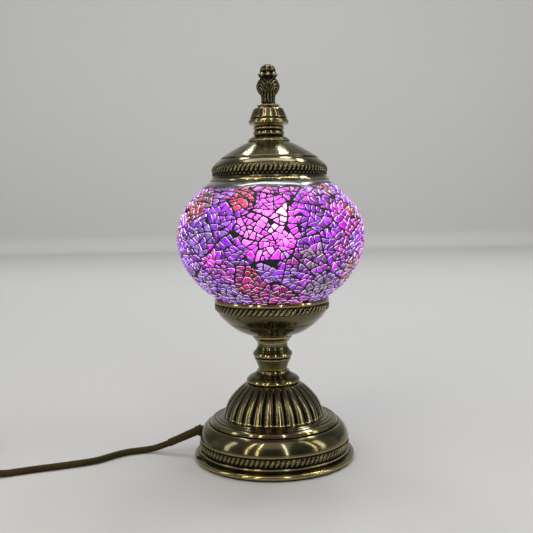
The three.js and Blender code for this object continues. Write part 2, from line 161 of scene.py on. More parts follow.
def colour_by(tree, shader, pattern, dark, light, low=0.3):
    tree.links.new(blend(tree, spread(tree, pattern, low, 0.7, 0, 1), dark, light), shader.inputs["Base Color"])


def roughness_by(tree, shader, pattern, start, end):
    tree.links.new(spread(tree, pattern, 0.3, 0.7, start, end), shader.inputs["Roughness"])


# ---------------------------------------------------------------- materials
OLIVE_BRASS = (0.136, 0.117, 0.061), (0.205, 0.178, 0.096)
BRUSHED_BRASS = (0.050, 0.042, 0.025)
# Rubbed gold for crests, partly a painted highlight, and near-black patina for hollows, partly painted shade.
WORN_BRASS_AND_PAINTED_HIGHLIGHT = (0.46, 0.37, 0.15)
PATINA_AND_PAINTED_SHADE = (0.008, 0.007, 0.007)
BRUSH_LINES = 2600        # in a metre
BULB_GLOW = 11.5
PAINTED_GLOW_HEIGHT = 156.0       # of the brightest part of the painted glow on the globe, level with the bulb
PAINTED_GLOW_SPREAD = 26.0


def turned_brush(tree):
    """Fine lines that run round the lamp's axis."""
    place = add(tree, "ShaderNodeTexCoord")
    split = add(tree, "ShaderNodeSeparateXYZ")
    tree.links.new(place.outputs["Object"], split.inputs[0])
    x, y, z = split.outputs
    squares = [maths(tree, "MULTIPLY", way, way) for way in (x, y)]
    across = maths(tree, "SQRT", maths(tree, "ADD", *squares))
    join = add(tree, "ShaderNodeCombineXYZ")
    for socket, way in ((0, x), (1, y)):
        tree.links.new(maths(tree, "MULTIPLY", maths(tree, "DIVIDE", way, across), 1.6), join.inputs[socket])
    tree.links.new(maths(tree, "MULTIPLY", maths(tree, "ADD", z, across), BRUSH_LINES), join.inputs[2])
    texture = add(tree, "ShaderNodeTexNoise", Scale=1.0, Detail=3)
    tree.links.new(join.outputs[0], texture.inputs["Vector"])
    return texture.outputs["Fac"]


def antique_brass(name="antique_brass", brushed=True):
    """Olive brass, brushed round its axis, dark with patina and painted shade in its hollows, and golden with wear
    and a painted highlight on its crests.
    """
    material, tree, shader = new_material(name)
    cloud = object_noise(tree, 70, 4)
    grain = turned_brush(tree) if brushed else object_noise(tree, 260, 2)
    # Hollows and crests of the outline and relief: darkened as patina and painted shade, lightened as wear and
    # painted highlight.
    wear_and_painted_light = add(tree, "ShaderNodeAttribute", attribute_name="wear_and_painted_light").outputs["Fac"]
    hollow = spread(tree, wear_and_painted_light, -0.05, -0.65, 0, 1)
    body = blend(tree, spread(tree, cloud, 0.35, 0.7, 0, 1), *OLIVE_BRASS)
    body = blend(tree, spread(tree, grain, 0.35, 0.75, 0, 0.6), body, BRUSHED_BRASS)
    body = blend(tree, spread(tree, wear_and_painted_light, 0.15, 0.9, 0, 0.75), body, WORN_BRASS_AND_PAINTED_HIGHLIGHT)
    tree.links.new(blend(tree, hollow, body, PATINA_AND_PAINTED_SHADE), shader.inputs["Base Color"])
    dull = maths(tree, "MULTIPLY", hollow, 0.15)
    rough = maths(tree, "ADD", spread(tree, grain, 0.3, 0.75, 0.11, 0.21), dull)
    tree.links.new(rough, shader.inputs["Roughness"])
    tune(shader, Metallic=1.0)
    if brushed:
        bump(tree, shader, grain, 0.2, 0.00008)
        tune(shader, Anisotropic=0.7, Anisotropic_Rotation=0.25)
        tangent = add(tree, "ShaderNodeTangent", direction_type="RADIAL", axis="Z")
        tree.links.new(tangent.outputs[0], shader.inputs["Tangent"])
    return material


def plain_metal(name, colour, roughness, scale=400):
    material, tree, shader = new_material(name)
    tune(shader, Metallic=1.0)
    grain = object_noise(tree, scale, 4)
    colour_by(tree, shader, grain, tuple(0.7 * c for c in colour), colour)
    roughness_by(tree, shader, grain, roughness + 0.12, roughness)
    bump(tree, shader, grain, 0.15, 0.0001)
    return material


def moulded(name, colour, roughness, scale=1800):
    """Moulded plastic or ceramic with a fine pebbled skin."""
    material, tree, shader = new_material(name)
    grain = object_noise(tree, scale, 2)
    colour_by(tree, shader, object_noise(tree, 90, 3), colour, tuple(min(1, 1.35 * c + 0.004) for c in colour))
    roughness_by(tree, shader, grain, roughness, roughness + 0.12)
    bump(tree, shader, grain, 0.3, 0.00005)
    return material


def felt():
    material, tree, shader = new_material("black_felt")
    fibre = object_noise(tree, 2500, 4)
    colour_by(tree, shader, fibre, (0.006, 0.006, 0.006), (0.03, 0.03, 0.03))
    tune(shader, Roughness=0.95)
    bump(tree, shader, fibre, 0.6, 0.0002)
    return material


def clear_glass():
    material, tree, shader = new_material("clear_glass")
    tune(shader, Transmission_Weight=1.0, IOR=1.3)
    ripple = object_noise(tree, 45, 2)
    tree.links.new(blend(tree, ripple, (0.93, 0.95, 0.97), (0.99, 0.99, 1.0)), shader.inputs["Base Color"])
    roughness_by(tree, shader, ripple, 0.03, 0.08)
    return material


def lit_bulb():
    material, tree, shader = new_material("frosted_glass")
    cloud = object_noise(tree, 60, 2)
    tree.links.new(blend(tree, cloud, (1.0, 0.93, 0.88), (1.0, 0.96, 0.92)), shader.inputs["Base Color"])
    tree.links.new(blend(tree, cloud, (1.0, 0.90, 0.84), (1.0, 0.95, 0.90)), shader.inputs["Emission Color"])
    tune(shader, Emission_Strength=BULB_GLOW, Roughness=0.5)
    return material


def mosaic_glass():
    """Lit glass chips: each carries its own tint and a painted glow, strongest in a band level with the bulb, and
    the bulb shows through them.
    """
    material, tree, shader = new_material("mosaic_glass")
    tint = add(tree, "ShaderNodeAttribute", attribute_name="tint")
    streak = object_noise(tree, 900, 3)
    shade = blend(tree, spread(tree, streak, 0.5, 0.75, 0, 0.08), tint.outputs["Color"], (0.92, 0.62, 1.0))
    tree.links.new(shade, shader.inputs["Base Color"])
    tree.links.new(shade, shader.inputs["Emission Color"])
    place = add(tree, "ShaderNodeTexCoord")
    split = add(tree, "ShaderNodeSeparateXYZ")
    tree.links.new(place.outputs["Object"], split.inputs[0])
    # Painted glow: the bulb's light painted into the chips as emission, brightest at its height.
    off = maths(tree, "DIVIDE", maths(tree, "SUBTRACT", split.outputs[2], PAINTED_GLOW_HEIGHT * MM), PAINTED_GLOW_SPREAD * MM)
    near = maths(tree, "POWER", 2.718, maths(tree, "MULTIPLY", maths(tree, "MULTIPLY", off, off), -1))
    share = maths(tree, "ADD", maths(tree, "MULTIPLY", near, 0.26), 0.22)
    painted_glow = maths(tree, "MULTIPLY", share, tint.outputs["Alpha"])
    tree.links.new(painted_glow, shader.inputs["Emission Strength"])
    tune(shader, Transmission_Weight=0.62, IOR=1.3, Coat_Weight=0.35, Coat_Roughness=0.05)
    roughness_by(tree, shader, streak, 0.22, 0.30)
    bump(tree, shader, object_noise(tree, 260, 3), 0.35, 0.0006)
    return material


def grout(name, colour, roughness, coat):
    material, tree, shader = new_material(name)
    cloud = object_noise(tree, 220, 4)
    colour_by(tree, shader, cloud, colour, tuple(2.2 * c for c in colour), 0.35)
    roughness_by(tree, shader, cloud, roughness, roughness + 0.15)
    tune(shader, IOR=1.5 + 0.9 * coat, Coat_Weight=coat, Coat_Roughness=0.06)
    bump(tree, shader, cloud, 0.3, 0.0002)
    return material


def lead_sheath():
    material, tree, shader = new_material("bronze_lead")
    cloud = object_noise(tree, 140, 3)
    colour_by(tree, shader, cloud, (0.022, 0.0145, 0.0016), (0.036, 0.0245, 0.003))
    roughness_by(tree, shader, cloud, 0.45, 0.6)
    tune(shader, Specular_IOR_Level=0.12)
    bump(tree, shader, object_noise(tree, 2200, 2), 0.2, 0.00006)
    return material


# ---------------------------------------------------------------- meshes
def link_mesh(name, verts, faces, material, smooth=True):
    mesh = bpy.data.meshes.new(name)
    mesh.from_pydata(verts, [], faces)
    mesh.polygons.foreach_set("use_smooth", [smooth] * len(mesh.polygons))
    mesh.materials.append(material)
    mesh.update()
    return new_object(name, mesh)


def settle(piece, body, slot, *nodes):
    """Puts a finished piece on its body, in place of the CAD nodes it stands for. Its slot is not used."""
    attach(piece, body)
    if nodes:
        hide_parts(*nodes)
    return piece


def curve_through(points, steps):
    """A smooth line through [radius, height] points, with the same number of steps in each stretch."""
    p = np.array([points[0], *points, points[-1]], float)
    p[0] = 2 * p[1] - p[2]
    p[-1] = 2 * p[-2] - p[-3]
    line = []
    for k in range(1, len(p) - 2):
        for t in np.linspace(0, 1, steps, endpoint=False):
            line.append(tuple(0.5 * (2 * p[k] + (p[k + 1] - p[k - 1]) * t
                                     + (2 * p[k - 1] - 5 * p[k] + 4 * p[k + 1] - p[k + 2]) * t ** 2
                                     + (3 * p[k] - p[k - 1] - 3 * p[k + 1] + p[k + 2]) * t ** 3)))
    return line + [tuple(p[-2])]


def arc(r, z, radius, start, end, steps):
    turns = np.radians(np.linspace(start, end, steps + 1))
    return [(r + radius * math.cos(a), z + radius * math.sin(a)) for a in turns]


def soften(points, radius=0.35, steps=4):
    """Rounds every corner of an outline, with less where the stretches beside it are short."""
    p = np.array(points, float)
    line = [tuple(p[0])]
    for k in range(1, len(p) - 1):
        before = p[k - 1] - p[k]
        after = p[k + 1] - p[k]
        reach = [np.linalg.norm(before), np.linalg.norm(after)]
        if min(reach) < 1e-6:
            continue
        before, after = before / reach[0], after / reach[1]
        opening = math.acos(float(np.clip(before @ after, -1, 1)))
        if opening > math.radians(168):
            line.append(tuple(p[k]))
            continue
        back = min(radius / math.tan(opening / 2), 0.42 * min(reach))
        start, end = p[k] + before * back, p[k] + after * back
        for t in np.linspace(0, 1, steps + 1):
            line.append(tuple((1 - t) ** 2 * start + 2 * t * (1 - t) * p[k] + t ** 2 * end))
    return line + [tuple(p[-1])]


def densify(line, low, high, step):
    """Adds points to the stretches between two heights, so that relief shows there."""
    out = [line[0]]
    for a, b in zip(line, line[1:]):
        if low <= min(a[1], b[1]) and max(a[1], b[1]) <= high:
            count = max(1, math.ceil(math.dist(a, b) / step))
            for k in range(1, count):
                out.append((a[0] + (b[0] - a[0]) * k / count, a[1] + (b[1] - a[1]) * k / count))
        out.append(b)
    return out


CORNER_REACH = 0.8          # how far along an outline a corner is felt
WELD_REACH = 1e-6


def outline_convexity(line, closed):
    """How convex the outline is at each point: 1 on a sharp crest, -1 in a tight groove."""
    p = np.array(line, float)
    n = len(p)
    step = np.linalg.norm(np.roll(p, -1, 0) - p, axis=1)
    along = np.concatenate([[0], np.cumsum(step[:-1])])
    total = along[-1] + step[-1]
    wear_and_painted_light = np.zeros(n)
    for k in range(n):
        if not closed and k in (0, n - 1):
            continue
        d1 = p[k] - p[k - 1]
        d2 = p[(k + 1) % n] - p[k]
        turn = math.atan2(d1[0] * d2[1] - d1[1] * d2[0], d1 @ d2)
        away = np.abs(along - along[k])
        away = np.minimum(away, total - away) if closed else away
        wear_and_painted_light += turn * np.exp(-(away / CORNER_REACH) ** 2)
    return np.clip(wear_and_painted_light * 0.9, -1, 1)


def turned(name, outer, inner, base, sides, material, relief=None, pole=False):
    """Revolves an outline. relief says how far each outer point stands out at each angle, and how light or dark its
    mark is: wear with a painted highlight on crests, patina with painted shade in grooves.
    """
    line = [*outer, *inner]
    closed = not pole
    p = np.array(line, float)
    n = len(p)
    ahead = np.roll(p, -1, 0) - np.roll(p, 1, 0)
    if pole:
        ahead[0], ahead[-1] = p[1] - p[0], p[-1] - p[-2]
    out = np.stack([ahead[:, 1], -ahead[:, 0]], 1)
    out /= np.maximum(np.linalg.norm(out, axis=1, keepdims=True), 1e-9)
    angle = np.arange(sides) * TAU / sides
    wear_and_painted_light = np.repeat(outline_convexity(line, closed)[None, :], sides, 0)
    # Inner faces are darkened: patina and painted shade.
    wear_and_painted_light[:, len(outer):] = -0.4
    radius = np.repeat(p[None, :, 0], sides, 0)
    height = np.repeat(p[None, :, 1], sides, 0)
    if relief:
        count = len(outer)
        rise, marks = relief(angle[:, None], p[None, :count, 0], p[None, :count, 1])
        radius[:, :count] += rise * out[None, :count, 0]
        height[:, :count] += rise * out[None, :count, 1]
        wear_and_painted_light[:, :count] = np.clip(wear_and_painted_light[:, :count] + marks, -1, 1)
    x = radius * np.cos(angle)[:, None] * MM
    y = radius * np.sin(angle)[:, None] * MM
    z = height * MM + base
    verts = np.stack([x, y, z], 2).reshape(-1, 3)
    side = np.arange(sides)[:, None]
    row = np.arange(n if closed else n - 1)[None, :]
    nxt = (side + 1) % sides
    up = (row + 1) % n
    faces = np.stack([side * n + row, nxt * n + row, nxt * n + up, side * n + up], 2).reshape(-1, 4)
    piece = link_mesh(name, verts.tolist(), faces.tolist(), material)
    marks = piece.data.attributes.new("wear_and_painted_light", "FLOAT", "POINT")
    marks.data.foreach_set("value", wear_and_painted_light.reshape(-1).astype(np.float32))
    if pole:
        weld(piece)
    return piece


def weld(piece):
    work = bmesh.new()
    work.from_mesh(piece.data)
    bmesh.ops.remove_doubles(work, verts=work.verts, dist=WELD_REACH)
    bmesh.ops.dissolve_degenerate(work, edges=work.edges, dist=WELD_REACH)
    work.to_mesh(piece.data)
    work.free()


def fix_normals(piece):
    work = bmesh.new()
    work.from_mesh(piece.data)
    bmesh.ops.recalc_face_normals(work, faces=work.faces)
    work.to_mesh(piece.data)
    work.free()


def low(node):
    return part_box(node)[0].z


def within(z, start, end):
    """0 outside a band of heights, 1 in its middle, round in between."""
    v = (z - (start + end) / 2) / ((end - start) / 2)
    return np.sqrt(np.clip(1 - v ** 2, 0, 1))


def rope_relief(count, start, end, lean, depth, fill=0.78):
    """A band of leaning beads, which a rope leaves when it is pressed round a wall."""
    middle = (start + end) / 2
    half = (end - start) / 2

    def relief(angle, r, z):
        v = (z - middle) / half
        bend = lean * (v + 0.55 * v ** 3)
        phase = (angle * count / TAU - bend) % 1.0
        u = (phase - 0.5) * 2 / fill
        bead = np.clip(1 - u ** 2, 0, 1) * np.clip(1 - np.abs(v) ** 3, 0, 1)
        inside = np.abs(v) < 1
        rise = depth * np.sqrt(bead)
        # Marks: lighter on the beads and darker between them, as wear and patina with painted highlight and painted
        # shade.
        marks = np.where(inside, 1.4 * np.sqrt(bead) - 0.95, 0)
        return rise, marks
    return relief


# ---------------------------------------------------------------- cords
CORD = 0.0042             # across the lead
TABLE_HEIGHT = 2.15       # of the lead's middle where it lies
SWITCH_START = (-186.3, -36.0)
SWITCH_LENGTH = 50.0
CORD_IN_SWITCH = 6.5
COIL_CENTRE = (-307.0, -4.5)
COIL_LAYERS = 3
LAYER_TURNS = 3
COIL_STEP = math.radians(10)
COIL_CLIMB = math.radians(60)   # in which one layer rises to the next
COIL_INNER = 18.9
COIL_OUTER = 31.5
COIL_LOW = 3.0
LAYER = 4.2
EXIT_TURN = math.radians(174)
EXIT_DROOP = math.radians(24)
EXIT_HEIGHT = 15.8
SLEEVE_ROOT = 50.4
SLEEVE_LENGTH = 22.0
BUSHING_ROOT = 42.6
RELIEF_SIDES = 40


def along_sleeve(distance):
    """A point along the drooping sleeve, from where it leaves the foot."""
    reach = SLEEVE_ROOT + distance * math.cos(EXIT_DROOP)
    height = EXIT_HEIGHT - distance * math.sin(EXIT_DROOP)
    return (reach * math.cos(EXIT_TURN), reach * math.sin(EXIT_TURN), height)


def around_coil(turn, radius, height):
    """A point of the coil, clockwise seen from above."""
    return (COIL_CENTRE[0] + radius * math.cos(-turn), COIL_CENTRE[1] + radius * math.sin(-turn), height)


def route_to_switch():
    start = [along_sleeve(SLEEVE_LENGTH + 0.3), (-75.5, 7.9, 4.75), (-80.2, 8.3, 3.2), (-85, 8.4, 2.35)]
    on_table = [
        (-90.1, 7.2), (-95.2, 5.3), (-100, 2.6), (-104.5, -1.2), (-108.7, -5.6), (-113, -9.9), (-118, -13.3),
        (-126, -16.8), (-136, -20.8), (-150, -25.8), (-160, -29.9),
    ]
    rise = [(-167, -32.8, 2.3), (-173, -34.7, 3.5), (-179.5, -35.8, 5.7)]
    end = (SWITCH_START[0] + 0.3, SWITCH_START[1], CORD_IN_SWITCH)
    return [*start, *[(x, y, TABLE_HEIGHT) for x, y in on_table], *rise, end]


def coil_turns():
    """The layers of the coil, in, out and in again, and the angle where the last one ends."""
    steps = round(LAYER_TURNS * TAU / COIL_STEP)
    climb = round(COIL_CLIMB / COIL_STEP)
    turn = math.pi / 2
    points = []
    for layer in range(COIL_LAYERS):
        first, last = (COIL_OUTER, COIL_INNER) if layer % 2 == 0 else (COIL_INNER, COIL_OUTER)
        height = COIL_LOW + layer * LAYER
        for k in range(1 if layer == 0 else 0, steps + 1):
            points.append(around_coil(turn, first + (last - first) * k / steps, height))
            turn += COIL_STEP
        turn -= COIL_STEP
        for k in range(1, climb):
            turn += COIL_STEP
            lift = LAYER * (0.5 - 0.5 * math.cos(math.pi * k / climb))
            points.append(around_coil(turn, last, height + lift))
        turn += COIL_STEP
    return points, turn


def route_to_plug():
    """From the switch into the coil, round it, over its top and on to the plug."""
    cx, cy = COIL_CENTRE
    reach = SWITCH_START[0] - SWITCH_LENGTH
    outer = cy - COIL_OUTER
    fall = [(reach - 0.3, CORD_IN_SWITCH), (reach - 6, 6.1), (reach - 13, 4.7), (reach - 20, 3.3)]
    level = [(reach - 27, COIL_LOW), (cx + 18, COIL_LOW), (cx + 9, COIL_LOW), (cx, COIL_LOW)]
    turns, angle = coil_turns()
    top = COIL_LOW + COIL_LAYERS * LAYER
    rear = math.radians(-90) + TAU * math.ceil((angle + math.radians(90)) / TAU)
    over = [around_coil(a, COIL_INNER, top) for a in np.arange(angle, rear + 1e-6, math.radians(12))]
    side = cy + COIL_INNER
    plug_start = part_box("plug_body")[0].x / MM
    tail = [(cx + x, top - fall) for x, fall in ((0, 0), (12, 0), (24, 0), (29, 0), (35, 1.2), (42, 4.2), (49, 7.4))]
    tail.append((plug_start - 0.3, 6.9))
    start = [(x, outer, z) for x, z in fall + level]
    end = [(x, side, z) for x, z in tail]
    return [*start, *turns, *[p for p in over if math.dist(p, end[0]) > 3], *end]


def smooth_route(points, spacing=1.2):
    """Points close together along a centripetal Catmull-Rom curve, in metres."""
    p = [np.array(q, float) for q in points]
    p = [2 * p[0] - p[1], *p, 2 * p[-1] - p[-2]]
    line = []
    for k in range(1, len(p) - 2):
        a, b, c, d = p[k - 1:k + 3]
        t = [0.0]
        for q, r in ((a, b), (b, c), (c, d)):
            t.append(t[-1] + max(np.linalg.norm(r - q), 1e-6) ** 0.5)
        count = max(1, round(np.linalg.norm(c - b) / spacing))
        for s in np.linspace(t[1], t[2], count, endpoint=False):
            ab = (a * (t[1] - s) + b * s) / t[1]
            bc = (b * (t[2] - s) + c * (s - t[1])) / (t[2] - t[1])
            cd = (c * (t[3] - s) + d * (s - t[2])) / (t[3] - t[2])
            abc = (ab * (t[2] - s) + bc * s) / t[2]
            bcd = (bc * (t[3] - s) + cd * (s - t[1])) / (t[3] - t[1])
            line.append((abc * (t[2] - s) + bcd * (s - t[1])) / (t[2] - t[1]))
    line.append(p[-2])
    return [tuple(q * MM) for q in line]


def lead(name, line, material):
    curve = bpy.data.curves.new(name, "CURVE")
    curve.dimensions = "3D"
    curve.bevel_depth = CORD / 2
    curve.bevel_resolution = 5
    curve.use_fill_caps = True
    spline = curve.splines.new("POLY")
    spline.points.add(len(line) - 1)
    for point, place in zip(spline.points, line):
        point.co = (*place, 1)
    spline.use_smooth = True
    curve.materials.append(material)
    return new_object(name, curve)


def make_cords(sheath):
    """Both stretches of the lead, each with its middle line."""
    made = []
    for name, points, nodes in (
        ("lead_lamp_to_switch", route_to_switch(), ["lead_to_switch"]),
        ("lead_switch_to_plug", route_to_plug(), ["lead_to_coil", "lead_coil", "lead_to_plug"]),
    ):
        line = smooth_route(points)
        made.append((settle(lead(name, line, sheath), "lamp", "bronze_lead", *nodes), line))
    return made


# ---------------------------------------------------------------- foot and stem
ROPE_FOOT = 96            # beads round the foot
ROPE_CUP = 66
ROPE_CAP = 80
FLUTES = 28
TUBE_BORE = 5.4           # radius of the hole for the threaded tube
STUD_BORE = 2.4
STEM_SIDES = 168
NECK_SIDES = 144
FINIAL_SIDES = 264


def spun(name, node, outer, inner, sides, brass, relief=None):
    """A turned brass piece that stands for one CAD node and starts at its lowest point."""
    return settle(turned(name, outer, inner, low(node), sides, brass, relief), "lamp", "antique_brass", node)


def make_foot(brass):
    """Heights above the table. The inside is the plain hollow of the shell."""
    outer = soften([
        (49.4, 1.1), *arc(50.8, 2.6, 1.5, -85, 70, 10), (50.0, 4.3), (49.1, 4.45), (48.5, 5.1), (48.75, 5.9),
        (48.6, 6.75), (47.75, 7.0), (47.6, 7.5), (47.9, 10.1), (47.7, 12.8), (47.75, 13.2), (48.5, 13.3),
    ], 0.3, 3)
    outer += curve_through([(48.55, 13.9), (48.1, 16.2), (47.0, 19.0), (45.2, 21.6), (43.4, 23.1)], 6)
    outer += soften([
        (43.0, 23.35), (42.0, 23.3), (41.75, 23.0), (41.5, 23.3), (41.55, 24.3), (41.0, 25.5), (39.8, 26.3),
        (38.6, 26.45), (38.25, 26.2), (37.9, 26.45), (37.2, 26.95), (36.2, 27.0), (35.9, 26.8), (35.5, 27.1),
        (34.8, 27.45), (33.6, 27.5), (33.0, 27.7), (TUBE_BORE, 27.7),
    ], 0.25, 3)
    outer = densify(outer, 7.2, 13.1, 0.5)
    inner = [
        (TUBE_BORE, 26.5), (38.6, 25.4), (39.6, 24.4), (40.2, 22.1), (42.4, 22.2), (45.2, 19.2), (46.7, 14),
        (46.7, 6.5), (48.2, 3.3), (49.0, 1.3),
    ]
    relief = rope_relief(ROPE_FOOT, 7.5, 12.9, 0.30, 0.95)
    piece = turned("foot", outer, inner, 0.0, ROPE_FOOT * 5, brass, relief)
    settle(piece, "lamp", "antique_brass", "foot_shell")


def flute_relief(angle, r, z):
    """Convex ribs with sharp grooves between them, which fade out at the top and end in lobes below."""
    u = (angle * FLUTES / TAU) % 1.0 * 2 - 1
    ease = np.clip((20.3 - z) / 2.2, 0, 1) ** 0.5 * np.clip(0.3 + z / 1.2, 0, 1)
    depth = 1.75 * r / 32.0 + 0.3
    dip = np.clip(1 - np.sqrt(np.clip(1 - np.abs(u) ** 2.1, 0, 1)), 0, 1)
    # Marks: lighter on the ribs and darker in the grooves, as wear and patina with painted highlight and painted
    # shade.
    marks = ease * (0.35 * (1 - dip) - 2.3 * dip ** 0.7 + 0.10)
    return -depth * ease * dip, marks


def make_dome(brass):
    outer = curve_through([
        (32.6, 0.0), (32.2, 1.6), (31.3, 4.6), (29.6, 8.4), (26.6, 12.6), (22.8, 16.6), (18.9, 19.9),
    ], 8)
    outer += soften([(18.3, 20.4), (17.2, 20.9), (12, 21.2), (TUBE_BORE, 21.2)], 0.3)
    inner = [(TUBE_BORE, 20.0), (15.6, 19.2), (22.0, 13.6), (27.2, 6.6), (29.7, 0)]
    spun("fluted_dome_cast", "fluted_dome", outer, inner, FLUTES * 18, brass, flute_relief)


def make_stem(brass):
    collar = soften([
        (TUBE_BORE, 0), (16.6, 0), (17.2, 0.35), (17.45, 1.1), (17.1, 2.1), (16.3, 2.8), (15.9, 3.3),
        (14.7, 4.2), (12.9, 5.0), (11.5, 5.9), (10.8, 6.8), (10.65, 7.5), (10.2, 7.9), (TUBE_BORE, 7.9),
    ], 0.35)
    knuckle = soften([
        (TUBE_BORE, 0), (8.9, 0), (9.2, 0.25), (9.5, 1.6), (10.3, 3.9), (11.0, 5.6), (11.25, 6.3),
        (11.75, 6.6), (11.8, 7.6), (11.5, 7.9), (11.9, 8.3), (12.6, 8.9), (12.95, 9.8), (12.7, 10.9),
        (11.9, 11.9), (11.5, 12.1), (11.2, 12.6), (10.4, 13.6), (9.85, 14.9), (9.7, 16.0), (9.8, 17.6),
        (10.0, 18.4), (TUBE_BORE, 18.4),
    ], 0.3)
    seat = soften([
        (TUBE_BORE, 0), (10.8, 0), (11.1, 0.3), (11.2, 0.9), (12.2, 1.7), (12.9, 2.6), (13.1, 3.4), (12.9, 3.8),
        (TUBE_BORE, 3.8),
    ], 0.25)
    spun("stem_collar", "dome_collar", collar, [], STEM_SIDES, brass)
    spun("knuckle", "stem_knuckle", knuckle, [], STEM_SIDES, brass)
    spun("seat_ring", "cup_seat_ring", seat, [], STEM_SIDES, brass)


def make_cup(brass):
    outer = soften([(TUBE_BORE, 0), (13.4, 0), (15.0, 0.25), (16.6, 0.75)], 0.3)
    outer += curve_through([(17.6, 1.1), (20.4, 2.2), (24.3, 4.5), (27.4, 6.9)], 6)
    outer += soften([(27.9, 7.3), (28.4, 8.2), (28.9, 8.5), (29.5, 8.6), (30.0, 9.2)], 0.25)
    outer += curve_through([(30.4, 9.6), (33.0, 12.2), (35.0, 15.0), (35.9, 16.8)], 7)
    outer += soften([
        (36.1, 17.2), (36.2, 17.6), (36.35, 21.2), (36.6, 21.5), (36.95, 21.8), (37.0, 22.6), (36.8, 23.5),
        (36.4, 23.9), (35.7, 23.9),
    ], 0.2)
    outer = densify(outer, 15.5, 21.3, 0.4)
    inner = [
        (35.6, 23.6), (35.6, 20.4), (34.4, 17.2), (32.0, 13.9), (28.0, 9.8), (22.4, 5.7), (17.0, 2.6),
        (13.2, 1.5), (TUBE_BORE, 1.3),
    ]
    relief = rope_relief(ROPE_CUP, 16.4, 21.4, 0.52, 0.75, 0.72)
    spun("cup", "lower_cup", outer, inner, ROPE_CUP * 9, brass, relief)


# ---------------------------------------------------------------- cap and finial
def cap_relief(angle, r, z):
    """Leaning notches that fade upwards, over a row of small beads."""
    v = (z - 5.6) / 4.6
    phase = (angle * ROPE_CAP / TAU - 0.55 * v) % 1.0
    u = (phase - 0.5) * 2
    notch = np.clip(1 - (u / 0.62) ** 2, 0, 1) ** 0.6 * np.clip(1 - v, 0, 1) ** 0.7 * (v > 0)
    dot = (angle * ROPE_CAP / TAU) % 1.0
    w = ((dot - 0.5) * 2 / 0.74) ** 2 + ((z - 4.45) / 0.95) ** 2
    bead = np.sqrt(np.clip(1 - w, 0, 1))
    band = (np.abs(z - 4.45) < 1.05).astype(float)
    crest = np.clip(1 - np.abs(np.abs(u) - 0.9) / 0.2, 0, 1) * np.clip(1 - v, 0, 1) * (v > 0)
    rise = -0.7 * notch + 0.5 * bead * band
    # Marks: darker in the notches and between the beads, lighter on their crests, as patina and wear with painted
    # shade and painted highlight.
    marks = 0.1 * crest - 1.8 * notch + band * (1.5 * bead - 1.1)
    return rise, marks


def make_cap(brass):
    outer = soften([(36.9, 0.1), (37.6, 0.0), (38.2, 0.35), (38.1, 1.0), (37.5, 1.5), (36.9, 2.1), (36.5, 2.9),
                    (36.3, 3.3), (36.15, 3.5), (36.15, 5.3), (36.5, 5.5)], 0.25)
    outer += curve_through([
        (36.75, 5.8), (36.95, 7.0), (36.6, 8.6), (35.4, 10.6), (33.3, 12.6), (31.6, 13.75),
    ], 9)
    outer += soften([(31.2, 14.0), (30.9, 14.35), (31.0, 14.8), (30.6, 15.35), (30.0, 15.7)], 0.2)
    outer += curve_through([(29.6, 15.9), (26.0, 18.2), (22.0, 20.5), (17.8, 22.8), (15.0, 24.1)], 7)
    outer += soften([(14.6, 24.3), (13.4, 24.6), (STUD_BORE, 24.6)], 0.3)
    outer = densify(outer, 3.2, 10.6, 0.35)
    inner = [
        (STUD_BORE, 23.4), (13.0, 23.2), (17.2, 21.6), (21.6, 18.9), (28.6, 14.4), (31.6, 11.8), (34.0, 9.0),
        (35.2, 6.4), (34.9, 3.4), (36.2, 0.8),
    ]
    spun("cap", "cap_dome", outer, inner, ROPE_CAP * 8, brass, cap_relief)


def make_neck(brass):
    neck = soften([
        (STUD_BORE, 0), (12.9, 0), (13.4, 0.3), (13.5, 0.9), (13.0, 1.6), (12.0, 2.3), (11.3, 2.8),
        (10.5, 3.1), (9.5, 3.4), (9.3, 3.8), (9.6, 4.3), (9.9, 5.2), (9.8, 6.2), (9.4, 6.7), (9.1, 7.0),
        (9.15, 7.4), (9.6, 7.8), (9.9, 8.5), (9.6, 9.2), (9.2, 9.6), (9.5, 10.1), (9.9, 10.4),
        (STUD_BORE, 10.4),
    ], 0.25)
    bell = soften([
        (STUD_BORE, 0), (11.4, 0), (12.2, 0.35), (12.7, 1.2), (12.75, 2.2), (12.4, 3.1), (11.8, 3.5),
        (11.3, 3.8), (11.85, 4.3), (11.6, 4.9), (11.0, 6.4), (10.2, 8.4), (9.7, 9.5), (9.2, 10.1),
        (8.0, 10.7), (6.8, 11.2), (STUD_BORE, 11.2),
    ], 0.3)
    spun("neck", "cap_neck", neck, [], NECK_SIDES, brass)
    spun("bell", "bell_collar", bell, [], NECK_SIDES, brass)


